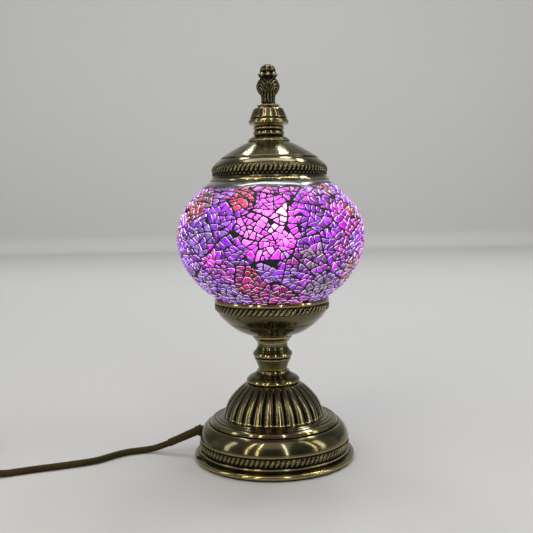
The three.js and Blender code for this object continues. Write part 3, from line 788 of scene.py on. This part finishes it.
def finial_relief(angle, r, z):
    """Acanthus work: four fans of ridges with upright flutes between them, petals above, a lobed knob."""
    quarter = (angle / (TAU / 4)) % 1.0 - 0.5
    across = quarter * (TAU / 4) * r
    far = np.sqrt((across * 1.05) ** 2 + ((z - 9.6) * 0.80) ** 2)
    fan = np.clip((0.36 - np.abs(quarter)) / 0.05, 0, 1) * np.clip((6.4 - far) / 0.5, 0, 1)
    ridge = 0.5 + 0.5 * np.cos(TAU * far / 1.45)
    flute = 0.5 + 0.5 * np.cos(TAU * (quarter + 0.5) * 16)
    leaf = fan * ridge + (1 - fan) * flute
    groove = np.abs(np.sin(angle * 7))
    petal = np.abs(np.cos(angle * 4)) ** 1.5
    lobe = np.abs(np.cos(angle * 4 + 0.4)) ** 0.8
    swirl = 0.5 + 0.5 * np.cos(TAU * (z - 21.0) / 1.9)
    rise = np.zeros(np.broadcast(angle, z).shape)
    # Marks: lighter on the raised work and darker in its grooves, as wear and patina with painted highlight and
    # painted shade.
    marks = np.zeros_like(rise)
    for start, end, height, mark in (
        (7.4, 17.6, 0.75 * leaf - 0.35 + 0.35 * fan, 2.0 * leaf - 1.6),
        (1.9, 7.6, 0.45 * groove - 0.3, 1.6 * groove - 1.4),
        (17.2, 21.4, 0.95 * petal - 0.45, 1.5 * petal - 1.3),
        (20.6, 26.6, 0.55 * lobe * (0.5 + 0.5 * swirl) - 0.25, 1.6 * lobe * (0.4 + 0.6 * swirl) - 1.2),
    ):
        band = within(z, start, end)
        rise += band * height
        marks += (band > 0.05) * mark
    beads = within(z, 0.1, 1.3)
    bead = np.abs(np.sin(angle * 11))
    return rise + beads * 0.3 * bead, marks + beads * (bead - 0.6)


def make_finial(brass):
    bore = [(0, 10.5), (3.5, 10.5)]
    outer = soften([(3.5, 0.0), (6.3, 0.0), (6.7, 0.3), (6.8, 0.8), (6.2, 1.3), (5.1, 1.5), (4.7, 1.9)], 0.25)
    outer += curve_through([
        (4.5, 2.4), (4.35, 4.2), (4.5, 6.2), (5.3, 8.0), (6.5, 10.0), (7.05, 12.2), (6.4, 14.8), (5.0, 17.0),
        (4.65, 18.1), (5.5, 19.3), (5.85, 20.0), (5.0, 20.7), (4.75, 21.4), (4.9, 22.6), (4.3, 24.2),
        (3.1, 25.5), (1.5, 26.2), (0.0, 26.35),
    ], 9)

    def relief(angle, r, z):
        """None on the bore, and fading to none at the tip."""
        rise, marks = finial_relief(angle, r, z)
        rise[:, :len(bore) + 1] = 0
        return rise * np.clip(r / 1.2, 0, 1), marks

    piece = turned("finial_cast", [*bore, *outer], [], low("finial"), FINIAL_SIDES, brass, relief, pole=True)
    settle(piece, "finial_top", "antique_brass", "finial")


# ---------------------------------------------------------------- globe
WAIST = 0.523             # height of the globe's widest part, as a share of its own height
SHARDS = 112
SHARD_DISORDER = 0.055
CHIP_AREA = 16            # wanted, in square millimetres
SMALLEST_AREA = 5
NARROWEST = 0.30          # a chip with less room is all grout
LOST_CHIPS = 0.006        # share of chips that have fallen out
EDGE_STEP = 0.040         # between corners along a chip's edge, in radians
CHIP_LEVEL = 0.12         # a chip's top below the globe's outer face
GROUT_LEVEL = 0.62
UNDERSIDE = 1.95          # of the mosaic
MOUTH = 30.0
GLASS_MOUTH = 27.0
GLASS_OUTSIDE = 2.3       # below the globe's outer face
GLASS_INSIDE = 4.7
PUTTY_SIDES = 240
PUTTY_ROWS = 14
PUTTY_DEPTH = 1.2


class Globe:
    """The oval of the globe, in millimetres, about the lamp's axis."""

    def __init__(self):
        lowest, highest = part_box("mosaic_layer")
        self.radius = (highest.x - lowest.x) / 2 / MM
        self.bottom = lowest.z / MM
        self.top = highest.z / MM
        self.centre = self.bottom + WAIST * (self.top - self.bottom)
        close = math.sin(math.acos(MOUTH / self.radius))
        self.rise = (self.top - self.centre) / close
        self.drop = (self.centre - self.bottom) / close

    def point(self, way, inset=0.0):
        """Where a direction from the middle meets the oval, some way in from its outer face."""
        tall = (self.rise if way[2] >= 0 else self.drop) - inset
        wide = self.radius - inset
        reach = 1 / math.sqrt((way[0] ** 2 + way[1] ** 2) / wide ** 2 + way[2] ** 2 / tall ** 2)
        return np.array(way) * reach

    def line(self, inset, mouth, steps):
        """The outline from the lower mouth to the upper one, as [radius, height above the table]."""
        wide = self.radius - inset
        end = math.acos(mouth / wide)
        out = []
        for a in np.linspace(-end, end, steps + 1):
            tall = (self.drop if a < 0 else self.rise) - inset
            out.append((wide * math.cos(a), self.centre + tall * math.sin(a)))
        return out


def unit(way):
    return way / np.linalg.norm(way)


def even_directions(count):
    """Directions spread over the oval, with some disorder."""
    ways = []
    golden = math.pi * (3 - math.sqrt(5))
    for k in range(count):
        z = 1 - 2 * (k + 0.5) / count
        flat = math.sqrt(1 - z * z)
        way = np.array([flat * math.cos(golden * k), flat * math.sin(golden * k), z])
        way += np.array([rng.gauss(0, SHARD_DISORDER) for _ in range(3)])
        way[2] *= 0.86
        ways.append(unit(way))
    return ways


def edges_of(polygon):
    """Each corner, the mark of the edge that starts there, and the next corner."""
    return [(a, mark, b) for (a, mark), (b, _) in zip(polygon, polygon[1:] + polygon[:1])]


def clip(polygon, plane, new_mark):
    """Keeps the part of a polygon of directions on the plane's positive side. The new edge gets its mark."""
    out = []
    for a, mark, b in edges_of(polygon):
        da, db = a @ plane, b @ plane
        if da >= 0:
            out.append((a, mark))
        if (da >= 0) != (db >= 0):
            out.append((unit(a + (b - a) * (da / (da - db))), new_mark if da >= 0 else mark))
    return out


def shard_polygons():
    """One polygon round each seed, nearer to it than to any other."""
    seeds = even_directions(SHARDS)
    shards = []
    for k, seed in enumerate(seeds):
        side = unit(np.cross((0, 0, 1), seed))
        up = np.cross(seed, side)
        square = ((-1, -1), (1, -1), (1, 1), (-1, 1))
        polygon = [(unit(seed + 0.6 * (sx * side + sy * up)), "shard") for sx, sy in square]
        others = sorted(((float(seed @ s), j) for j, s in enumerate(seeds) if j != k), reverse=True)[:16]
        for _, j in others:
            polygon = clip(polygon, seed - seeds[j], "shard")
        shards.append((seed, polygon))
    return shards


def size_of(globe, polygon):
    """The area of a polygon on the oval in square millimetres, its longest way across and its middle."""
    points = np.array([globe.point(a) for a, _ in polygon])
    middle = points.mean(0)
    area = 0.0
    for a, b in zip(points, np.roll(points, -1, 0)):
        area += 0.5 * np.linalg.norm(np.cross(a - middle, b - middle))
    _, _, axes = np.linalg.svd((points - middle) * (1, 1, 1.3), full_matrices=False)
    return area, axes[0], middle


def crack(globe, polygon, chips):
    """Breaks a polygon across its length until its pieces are small."""
    if len(polygon) < 3:
        return
    area, longest, middle = size_of(globe, polygon)
    if area < CHIP_AREA * rng.uniform(0.55, 1.9) or area < SMALLEST_AREA:
        chips.append(polygon)
        return
    way = unit(middle)
    across = np.array(Matrix.Rotation(rng.gauss(0, 0.34), 3, Vector(way)) @ Vector(longest))
    plane = unit(across - way * float(across @ way))
    plane = plane - way * (rng.uniform(-0.13, 0.13) * math.sqrt(area) / np.linalg.norm(middle))
    crack(globe, clip(polygon, plane, "crack"), chips)
    crack(globe, clip(polygon, -plane, "crack"), chips)


def bend(way):
    """Shifts a direction a little, the same for all near it, so that cracks wander."""
    v = Vector(way)
    shift = noise.noise_vector(v * 5.5) * 0.030 + noise.noise_vector(v * 15) * 0.008
    return np.array((v + shift).normalized())


PALETTE = {
    "violet": (0.38, 0.024, 0.94),
    "purple": (0.50, 0.010, 0.90),
    "magenta": (0.80, 0.008, 0.82),
    "painted_glow_blush": (1.0, 0.30, 0.96),
    "pink": (0.98, 0.10, 0.90),
    "lavender": (0.52, 0.24, 0.98),
    "crimson": (0.62, 0.008, 0.10),
    "rose": (0.92, 0.05, 0.26),
    "clear": (0.38, 0.22, 0.36),
}
# Shards of one colour that lie together: azimuth in degrees from the front, height, reach across, colours.
PATCHES = [
    (-22, 171, 9.5, ("crimson", "rose")), (-8, 178, 8, ("pink", "rose")),
    (-58, 163, 12, ("clear", "crimson")), (-80, 150, 9, ("clear", "crimson")),
    (-14, 118, 12, ("crimson", "magenta")), (2, 108, 12, ("magenta", "crimson")),
    (24, 132, 6, ("clear", "purple")), (38, 113, 7, ("clear", "lavender")),
    (60, 125, 10, ("crimson", "clear")), (45, 176, 10, ("clear", "rose")),
    (62, 160, 8, ("clear", "crimson")), (12, 134, 8, ("magenta", "purple")),
    (-35, 176, 12, ("lavender", "pink")), (-50, 150, 12, ("lavender", "violet")),
    # The blush patch and the pink one round it, in front at the bulb's height, are the bulb's hot glow painted into
    # the shards' colours; so are their copies behind.
    (2, 156, 9, ("painted_glow_blush", "pink")), (-3, 150, 15, ("pink", "magenta")), (28, 148, 16, ("purple", "violet")),
    (-28, 140, 13, ("violet", "purple")), (-45, 112, 14, ("violet", "lavender")),
    (125, 160, 13, ("crimson", "rose")), (160, 122, 14, ("crimson", "magenta")),
    (205, 172, 12, ("clear", "rose")), (240, 140, 13, ("crimson", "clear")),
    # Painted glow of the bulb, as in front.
    (180, 154, 9, ("painted_glow_blush", "pink")), (178, 149, 15, ("pink", "magenta")),
    (100, 135, 12, ("magenta", "purple")),
]
# Everywhere else: the two colours of a shard whose warmth is under each limit.
WARMTHS = [
    (-0.30, ("violet", "purple")), (-0.12, ("lavender", "violet")), (0.02, ("purple", "violet")),
    (0.20, ("purple", "magenta")), (0.34, ("magenta", "purple")), (0.42, ("magenta", "pink")),
]


def shard_colour(point, offset):
    """The two colours of a shard, from the patch it lies in or from noise, pinker in front and behind at the bulb's
    height as a painted glow.
    """
    flat = math.hypot(point[0], point[1])
    for azimuth, height, reach, names in PATCHES:
        away = math.atan2(point[0], -point[1]) - math.radians(azimuth)
        across = abs((away + math.pi) % TAU - math.pi) * flat
        if math.hypot(across, point[2] - height) < reach * rng.uniform(0.7, 1.1):
            return names
    place = Vector(tuple(point)) / 34
    painted_glow_facing = abs(point[1]) / max(1.0, flat)
    warmth = noise.noise(place) + 0.30 * noise.noise(place * 3) + offset + rng.gauss(0, 0.13)
    # Pinker towards front and back near the bulb's height: the bulb's hot glow, painted into the colours.
    warmth = min(0.44, warmth + 0.34 * painted_glow_facing ** 5 * math.exp(-((point[2] - 146) / 26) ** 2))
    for limit, names in WARMTHS:
        if warmth < limit:
            return names
    return ("pink", "magenta")


def chip_tint(names):
    first, second = (np.array(PALETTE[n]) for n in names)
    colour = first + (second - first) * rng.random() ** 1.6
    colour = colour * rng.uniform(0.45, 1.15) + rng.uniform(0, 0.02)
    return np.clip(colour, 0.01, 0.98)


def rim_tint(colour, painted_glow, way):
    """A chip's broken edge: frosted pale, with a painted highlight and painted glow, along its upper side, and
    darkened and deep in colour along its lower one, as painted shade.
    """
    upward = way[2] / max(1e-9, float(np.linalg.norm(way)))
    # Paler and glowing the more the edge faces up: painted highlight above, painted shade below.
    frost_and_highlight = min(1, max(0, 0.40 + 0.9 * upward + rng.uniform(-0.35, 0.35)))
    edge = colour * 0.6 * (1 - frost_and_highlight) + np.array((1.0, 0.86, 1.0)) * frost_and_highlight
    return (*edge, 0.6 * painted_glow + 4.0 * frost_and_highlight)


def ring_faces(first, second, count):
    """Quads between two rings of corners."""
    return [(first + k, first + (k + 1) % count, second + (k + 1) % count, second + k) for k in range(count)]


class Pile:
    """Corners, faces and a colour per corner of many small closed solids in one mesh."""

    def __init__(self):
        self.verts, self.faces, self.tints = [], [], []

    def ring(self, points, tint=(0, 0, 0, 1)):
        start = len(self.verts)
        self.verts += [tuple(p) for p in points]
        self.tints += [tint] * len(points)
        return start


def walk(polygon):
    """The corners of a polygon, with more between them where an edge is long."""
    out = []
    for a, _, b in edges_of(polygon):
        gap = math.acos(float(np.clip(a @ b, -1, 1)))
        count = max(1, math.ceil(gap / EDGE_STEP))
        out += [unit(a + (b - a) * k / count) for k in range(count)]
    return out


def edge_planes(polygon, middle, half_crack, half_gap):
    """The planes a chip keeps behind: each edge's own, and how far it is moved in."""
    planes = []
    for a, mark, b in edges_of(polygon):
        normal = np.cross(a, b)
        length = np.linalg.norm(normal)
        if length < 1e-7:
            continue
        normal = normal / length
        if normal @ middle < 0:
            normal = -normal
        planes.append((normal, half_gap if mark == "shard" else half_crack))
    return planes


class Chip:
    """One chip's outline on the globe, which can be drawn in and laid at any depth."""

    def __init__(self, globe, polygon):
        self.globe = globe
        self.middle = unit(np.sum([a for a, _ in polygon], 0))
        self.outer = walk(polygon)
        self.scale = 1 / np.linalg.norm(globe.point(self.middle))
        half_crack = rng.uniform(0.21, 0.45) * self.scale
        half_gap = rng.uniform(0.35, 0.74) * self.scale
        self.planes = edge_planes(polygon, self.middle, half_crack, half_gap)
        self.room = min((normal @ self.middle - gap) for normal, gap in self.planes) / self.scale
        self.lean = np.zeros(3)

    def reach(self, way, extra):
        """The share of the way from the middle to a corner that the chip fills, less extra millimetres."""
        best = 1.0
        for normal, gap in self.planes:
            falls = -(normal @ (way - self.middle))
            if falls > 1e-9:
                best = min(best, (normal @ self.middle - gap - extra * self.scale) / falls)
        return max(0.0, best)

    def loop(self, extra):
        return [bend(unit(self.middle + (way - self.middle) * self.reach(way, extra))) for way in self.outer]

    def grown(self, share):
        return [bend(unit(self.middle + (way - self.middle) * share)) for way in self.outer]

    def at(self, ways, inset):
        """The points of a loop, some way in from the globe's outer face."""
        return [self.globe.point(way, inset) + (0, 0, self.globe.centre) for way in ways]

    def tilted(self, ways, inset):
        """The same, lowered on the side that the chip leans to."""
        flat = self.globe.point(self.middle)
        out = []
        for p in self.at(ways, inset):
            offset = p - flat - (0, 0, self.globe.centre)
            out.append(p - self.middle * max(0.0, float(offset @ self.lean)))
        return out


def lay_grout(chip, bed, bare):
    """A chip's share of the grout: a ring round it, or a full tile where there is no glass."""
    count = len(chip.outer)
    grown = chip.grown(1.015)
    tops = bed.ring(chip.at(grown, GROUT_LEVEL))
    feet = bed.ring(chip.at(grown, UNDERSIDE))
    bed.faces += ring_faces(feet, tops, count)
    if bare:
        bed.faces.append(tuple(tops + k for k in range(count)))
        bed.faces.append(tuple(feet + k for k in reversed(range(count))))
        return
    hole = chip.loop(0.10)
    inner_top = bed.ring(chip.at(hole, GROUT_LEVEL + 0.12))
    inner_feet = bed.ring(chip.at(hole, UNDERSIDE))
    bed.faces += ring_faces(tops, inner_top, count)
    bed.faces += ring_faces(inner_top, inner_feet, count)
    bed.faces += ring_faces(inner_feet, feet, count)


def lay_chip(globe, polygon, names, glass, bed):
    """Adds one chip, and the grout round it, to their meshes. A sliver is all grout."""
    chip = Chip(globe, polygon)
    bare = chip.room < NARROWEST or rng.random() < LOST_CHIPS
    lay_grout(chip, bed, bare)
    if bare:
        return
    colour = chip_tint(names)
    # Chips are paler towards the top. Their painted glow, stronger higher up, stands in for the bulb's light shining
    # through them.
    colour = colour + (1 - colour) * 0.22 * max(0.0, chip.middle[2]) ** 2
    painted_glow = rng.uniform(0.35, 1.75) * (1 + 0.35 * float(chip.middle[2]))
    level = CHIP_LEVEL + rng.uniform(0, 0.28)
    bevel = min(0.27, 0.25 * chip.room)
    chip.lean = np.array([rng.gauss(0, 1) for _ in range(3)]) * 0.035
    edge = chip.loop(0)
    face = chip.tilted(chip.loop(bevel), level)
    foot = glass.ring(chip.at(edge, UNDERSIDE - 0.1), (*colour, painted_glow))
    shoulder = glass.ring(chip.tilted(edge, level + 0.32))
    glass.tints[shoulder:] = [rim_tint(colour, painted_glow, way - chip.middle) for way in chip.outer]
    crown = glass.ring(face, (*colour, painted_glow))
    peak = glass.ring([np.mean(face, 0) + chip.middle * 0.05], (*colour, painted_glow))
    count = len(edge)
    glass.faces += ring_faces(foot, shoulder, count)
    glass.faces += ring_faces(shoulder, crown, count)
    glass.faces += [(crown + k, crown + (k + 1) % count, peak) for k in range(count)]
    glass.faces.append(tuple(foot + k for k in reversed(range(count))))


def finish_pile(name, pile, material, *nodes):
    piece = link_mesh(name, (np.array(pile.verts) * MM).tolist(), pile.faces, material, smooth=False)
    fix_normals(piece)
    return settle(piece, "lamp", "mosaic", *nodes)


def make_mosaic(globe, glass, black):
    chips, bed = Pile(), Pile()
    for seed, polygon in shard_polygons():
        pieces = []
        middle = globe.point(seed) + (0, 0, globe.centre)
        crack(globe, polygon, pieces)
        offset = rng.gauss(0, 0.10)
        for piece in pieces:
            spot = globe.point(unit(np.sum([a for a, _ in piece], 0)))
            names = shard_colour(0.6 * spot + 0.4 * middle + (0, 0, 0.6 * globe.centre), offset)
            if math.hypot(spot[0], spot[1]) > MOUTH + 2.5:
                lay_chip(globe, piece, names, chips, bed)
    piece = finish_pile("mosaic_chips", chips, glass, "mosaic_layer")
    # The tint attribute holds each corner's colour and, in its alpha, its painted glow.
    tint = piece.data.attributes.new("tint", "FLOAT_COLOR", "POINT")
    tint.data.foreach_set("color", np.array(chips.tints, np.float32).reshape(-1))
    finish_pile("mosaic_grout", bed, black)


def putty_outline(globe, angle):
    """The band's outline at one angle: down its outer face and back up its inner one."""
    seen = Vector((math.cos(angle) * 1.7, math.sin(angle) * 1.7, 3.1))
    uneven = noise.noise(seen) * 2.6 + noise.noise(seen * 4) * 0.8
    lowest = 41.6 + 1.6 * math.cos(angle - math.radians(205)) + uneven
    outer, inner = [], []
    for row in range(PUTTY_ROWS):
        t = row / (PUTTY_ROWS - 1)
        radius = MOUTH + 0.2 + (lowest - MOUTH) * t
        height = globe.rise * math.sin(math.acos(min(1, radius / globe.radius)))
        swell = 0.55 * math.sqrt(max(0.0, 1 - t ** 6)) + 0.05
        out = Vector((radius, height)).normalized()
        outer.append((radius + swell * out.x, globe.centre + height + swell * out.y))
        radius -= 0.3 * t
        height = (globe.rise - PUTTY_DEPTH) * math.sin(math.acos(min(1, radius / (globe.radius - PUTTY_DEPTH))))
        inner.append((radius, globe.centre + height))
    return outer + inner[::-1]


def make_putty_band(globe, putty):
    """The smooth band that closes the mosaic under the cap, with its uneven lower edge."""
    verts, faces = [], []
    around = 2 * PUTTY_ROWS
    for k in range(PUTTY_SIDES):
        angle = k * TAU / PUTTY_SIDES
        x, y = math.cos(angle) * MM, math.sin(angle) * MM
        verts += [(r * x, r * y, z * MM) for r, z in putty_outline(globe, angle)]
        faces += ring_faces(k * around, (k + 1) % PUTTY_SIDES * around, around)
    piece = link_mesh("putty_band", verts, faces, putty)
    fix_normals(piece)
    settle(piece, "lamp", "mosaic")


def make_inner_glass(globe, glass):
    outer = globe.line(GLASS_OUTSIDE, GLASS_MOUTH, 56)
    inner = globe.line(GLASS_INSIDE, GLASS_MOUTH, 56)[::-1]
    settle(turned("inner_globe", outer, inner, 0.0, 128, glass), "lamp", "clear_glass", "globe_glass")


def make_bulb(lit):
    outside = curve_through([(8.6, 0), (9.0, 2.4), (10.6, 4.4), (12.6, 6.2)], 4)
    outside += arc(0, 21.7, 20, -50, 90, 26)
    inside = [(7.8, 0), (8.3, 2.6), *arc(0, 21.7, 19.2, -50, 90, 26)]
    piece = turned("bulb", [*inside[::-1], *outside], [], low("bulb_envelope"), 72, lit, pole=True)
    fix_normals(piece)
    settle(piece, "bulb_glass", "frosted_glass", "bulb_envelope")


# ---------------------------------------------------------------- strain relief, switch and plug
def stand_at(piece, place, lean):
    """Turns an upright piece's mesh to point out of the foot, leaning down, and moves it to its place."""
    turn = Matrix.Rotation(EXIT_TURN, 4, "Z") @ Matrix.Rotation(math.pi / 2 + lean, 4, "Y")
    piece.data.transform(Matrix.Translation(Vector(place) * MM) @ turn)
    piece.data.update()
    fix_normals(piece)


def make_strain_relief(material):
    ribs = [(0, 0), (3.0, 0), (3.2, 0.3), (3.2, 0.9), (2.9, 1.2)]
    for k in range(6):
        z = 2.2 + 2.6 * k
        r = 2.85 - 0.4 * z / SLEEVE_LENGTH
        ribs += [(r - 0.15, z), (r - 0.15, z + 0.5), (r, z + 0.7), (r - 0.03, z + 2.0)]
    ribs += [(2.55, SLEEVE_LENGTH - 0.4), (2.3, SLEEVE_LENGTH), (0, SLEEVE_LENGTH)]
    sleeve = turned("strain_sleeve", soften(ribs, 0.2), [], 0.0, RELIEF_SIDES, material, pole=True)
    stand_at(sleeve, along_sleeve(0), EXIT_DROOP)
    settle(sleeve, "lamp", "bronze_lead", "strain_relief")
    outline = soften([(0, 0), (4.4, 0), (4.4, 1.2), (3.2, 1.2), (3.2, 6.3), (3.7, 6.3), (3.8, 6.8), (3.6, 7.6),
                      (3.0, 8.3), (0, 8.6)], 0.25)
    bushing = turned("strain_bushing", outline, [], 0.0, RELIEF_SIDES, material, pole=True)
    root = (BUSHING_ROOT * math.cos(EXIT_TURN), BUSHING_ROOT * math.sin(EXIT_TURN), EXIT_HEIGHT)
    stand_at(bushing, root, 0)
    settle(bushing, "lamp", "bronze_lead")
    return sleeve, bushing


def rounded_copy(node, name, width, material, body, slot, segments=3):
    """A copy of a CAD node's solid with its edges rounded by a width in millimetres, as in a moulding."""
    work = bmesh.new()
    work.from_mesh(frame["nodes"][node].data)
    bmesh.ops.remove_doubles(work, verts=work.verts, dist=2 * WELD_REACH)
    bmesh.ops.dissolve_limit(work, angle_limit=math.radians(1.5), verts=work.verts, edges=work.edges)
    mesh = bpy.data.meshes.new(name)
    work.to_mesh(mesh)
    work.free()
    mesh.materials.clear()
    mesh.materials.append(material)
    mesh.polygons.foreach_set("use_smooth", [True] * len(mesh.polygons))
    piece = new_object(name, mesh)
    rounding = piece.modifiers.new("rounding", "BEVEL")
    rounding.width = width * MM
    rounding.segments = segments
    rounding.limit_method = "ANGLE"
    rounding.angle_limit = math.radians(35)
    rounding.harden_normals = True
    bpy.context.view_layer.update()
    done = bpy.data.meshes.new_from_object(piece.evaluated_get(bpy.context.evaluated_depsgraph_get()))
    piece.modifiers.clear()
    piece.data = done
    return settle(piece, body, slot, node)


def make_switch(black):
    lower = rounded_copy("switch_lower", "switch_shell_lower", 0.7, black, "lamp", "black_bakelite")
    upper = rounded_copy("switch_upper", "switch_shell_upper", 0.9, black, "lamp", "black_bakelite")
    rocker = rounded_copy("switch_rocker", "rocker_key", 0.5, black, "rocker", "black_bakelite")
    return [lower, upper, rocker]


def make_plug(black, bright):
    body = rounded_copy("plug_body", "plug_shell", 0.6, black, "lamp", "black_bakelite")
    pins = [rounded_copy(node, node + "_round", 0.3, bright, "lamp", "bright_brass")
            for node in ("plug_pin_front", "plug_pin_rear")]
    return [body, *pins]


def make_tie(black):
    return rounded_copy("coil_tie", "tie_strap", 0.15, black, "lamp", "black_bakelite", segments=2)


# ---------------------------------------------------------------- stage and light
STAGE_NEAR = -4.0
STAGE_FAR = 2.12
STAGE_CURVE = 0.06        # radius of the bend from floor to wall
STAGE_HEIGHT = 5.0
STAGE_SIDE = 6.0
STAGE_DROP = 0.00002      # below the lamp's underside
LAMP_MIDDLE = (0, 0, 0.12)
WARM = (1.0, 0.90, 0.68)
COOL = (0.88, 0.94, 1.0)


def make_stage():
    """A floor that curves up into a wall behind the lamp."""
    material, tree, shader = new_material("stage")
    cloud = object_noise(tree, 2.0, 2)
    grey = blend(tree, cloud, (0.470, 0.469, 0.467), (0.490, 0.489, 0.487))
    tree.links.new(grey, shader.inputs["Base Color"])
    tune(shader, Roughness=0.75)
    line = [(STAGE_NEAR, 0.0), (STAGE_FAR, 0.0)]
    for k in range(1, 9):
        a = math.radians(90 * k / 8)
        line.append((STAGE_FAR + STAGE_CURVE * math.sin(a), STAGE_CURVE * (1 - math.cos(a))))
    line.append((STAGE_FAR + STAGE_CURVE, STAGE_HEIGHT))
    verts = [(x, y, z - STAGE_DROP) for y, z in line for x in (-STAGE_SIDE, STAGE_SIDE)]
    faces = [(2 * k, 2 * k + 1, 2 * k + 3, 2 * k + 2) for k in range(len(line) - 1)]
    link_mesh("studio_floor", verts, faces, material)


def point_at(light, target):
    light.rotation_euler = (Vector(target) - light.location).to_track_quat("-Z", "Y").to_euler()


def area_light(name, azimuth, elevation, distance, width, height, power, colour=(1, 1, 1)):
    """A softbox that faces the lamp. Azimuth 0 is in front, 90 to the right."""
    data = bpy.data.lights.new(name, "AREA")
    data.shape = "RECTANGLE"
    data.size = width
    data.size_y = height
    data.energy = power
    data.color = colour
    light = new_object(name, data)
    a, e = math.radians(azimuth), math.radians(elevation)
    way = Vector((math.sin(a) * math.cos(e), -math.cos(a) * math.cos(e), math.sin(e)))
    light.location = Vector(LAMP_MIDDLE) + way * distance
    light.visible_camera = False
    point_at(light, LAMP_MIDDLE)
    return light


def make_lights():
    area_light("overhead", 180, 77, 3.0, 2.6, 0.7, 26)
    area_light("front_soft", 0, 60, 3.0, 2.4, 2.4, 8)
    area_light("window_left", 203, 52, 1.5, 0.16, 0.08, 1.7)
    area_light("window_right", 160, 59, 1.5, 0.18, 0.09, 2.1)
    area_light("window_high_right", 127, 56, 1.5, 0.30, 0.16, 3.2, COOL)
    area_light("side_left", -76, 21, 1.4, 0.20, 1.0, 2.0)
    area_light("side_right", 78, 21, 1.4, 0.20, 1.0, 2.4)
    area_light("strip_left", -43, 30, 1.5, 0.040, 1.7, 3.3, WARM)
    area_light("strip_near_left", -26, 30, 1.5, 0.028, 1.7, 4.0, WARM)
    area_light("strip_right", 64, 30, 1.5, 0.040, 1.7, 3.3, WARM)
    area_light("strip_near_right", 18, 30, 1.5, 0.025, 1.7, 3.8, COOL)
    wall = area_light("wall_wash", 180, 40, 1.4, 3.6, 0.25, 9)
    point_at(wall, (0, 2.15, 0))


def make_world():
    """The backdrop's grey for the camera. Reflections see a room that is lighter above and darker in front."""
    world = bpy.data.worlds.new("studio")
    bpy.context.scene.world = world
    world.use_nodes = True
    tree = world.node_tree
    background = tree.nodes["Background"]
    place = add(tree, "ShaderNodeTexCoord")
    split = add(tree, "ShaderNodeSeparateXYZ")
    tree.links.new(place.outputs["Generated"], split.inputs[0])
    above = spread(tree, split.outputs[2], 0.0, 0.9, 0.0, 1.0)
    behind = spread(tree, split.outputs[1], -0.75, 0.5, 0.0, 1.0)
    room = blend(tree, behind, (0.045, 0.045, 0.05), (0.40, 0.40, 0.395))
    room = blend(tree, above, room, (0.22, 0.22, 0.23))
    sight = add(tree, "ShaderNodeLightPath")
    seen = blend(tree, sight.outputs["Is Diffuse Ray"], room, (0.42, 0.42, 0.415))
    seen = blend(tree, sight.outputs["Is Camera Ray"], seen, (0.48, 0.48, 0.465))
    tree.links.new(seen, background.inputs["Color"])
    background.inputs["Strength"].default_value = 1.0


# ---------------------------------------------------------------- the whole lamp
def paint_hidden_nodes(finishes):
    for part in frame["record"]["subparts"]:
        node = frame["nodes"][part["node"]]
        node.data.materials.clear()
        node.data.materials.append(finishes[part["material_slot"]])


make_camera()
sheath = lead_sheath()
(first_cord, first_line), (second_cord, second_line) = make_cords(sheath)

brass = antique_brass()
cast = antique_brass("cast_brass", brushed=False)
finishes = {
    "antique_brass": brass,
    "bright_brass": plain_metal("bright_brass", (0.62, 0.45, 0.17), 0.26),
    "zinc_steel": plain_metal("zinc_steel", (0.48, 0.49, 0.50), 0.34),
    "cast_iron": plain_metal("cast_iron", (0.06, 0.06, 0.065), 0.62, 160),
    "black_felt": felt(),
    "clear_glass": clear_glass(),
    "mosaic": mosaic_glass(),
    "frosted_glass": lit_bulb(),
    "white_ceramic": moulded("white_ceramic", (0.74, 0.72, 0.66), 0.42, 700),
    "black_bakelite": moulded("black_bakelite", (0.012, 0.011, 0.010), 0.26),
    "bronze_lead": sheath,
    "wire_brown": moulded("wire_brown", (0.10, 0.035, 0.015), 0.45),
    "wire_blue": moulded("wire_blue", (0.03, 0.08, 0.27), 0.45),
}
paint_hidden_nodes(finishes)

make_foot(brass)
make_dome(cast)
make_stem(brass)
make_cup(brass)
make_cap(brass)
make_neck(brass)
make_finial(cast)
globe = Globe()
make_mosaic(globe, finishes["mosaic"], grout("black_grout", (0.002, 0.002, 0.002), 0.6, 0.0))
make_putty_band(globe, grout("putty", (0.014, 0.014, 0.017), 0.12, 1.0))
make_inner_glass(globe, finishes["clear_glass"])
make_bulb(finishes["frosted_glass"])
sleeve, bushing = make_strain_relief(sheath)
switch = make_switch(finishes["black_bakelite"])
plug = make_plug(finishes["black_bakelite"], finishes["bright_brass"])
tie = make_tie(finishes["black_bakelite"])

make_stage()
make_lights()
make_world()
bpy.context.scene.view_settings.view_transform = "Standard"
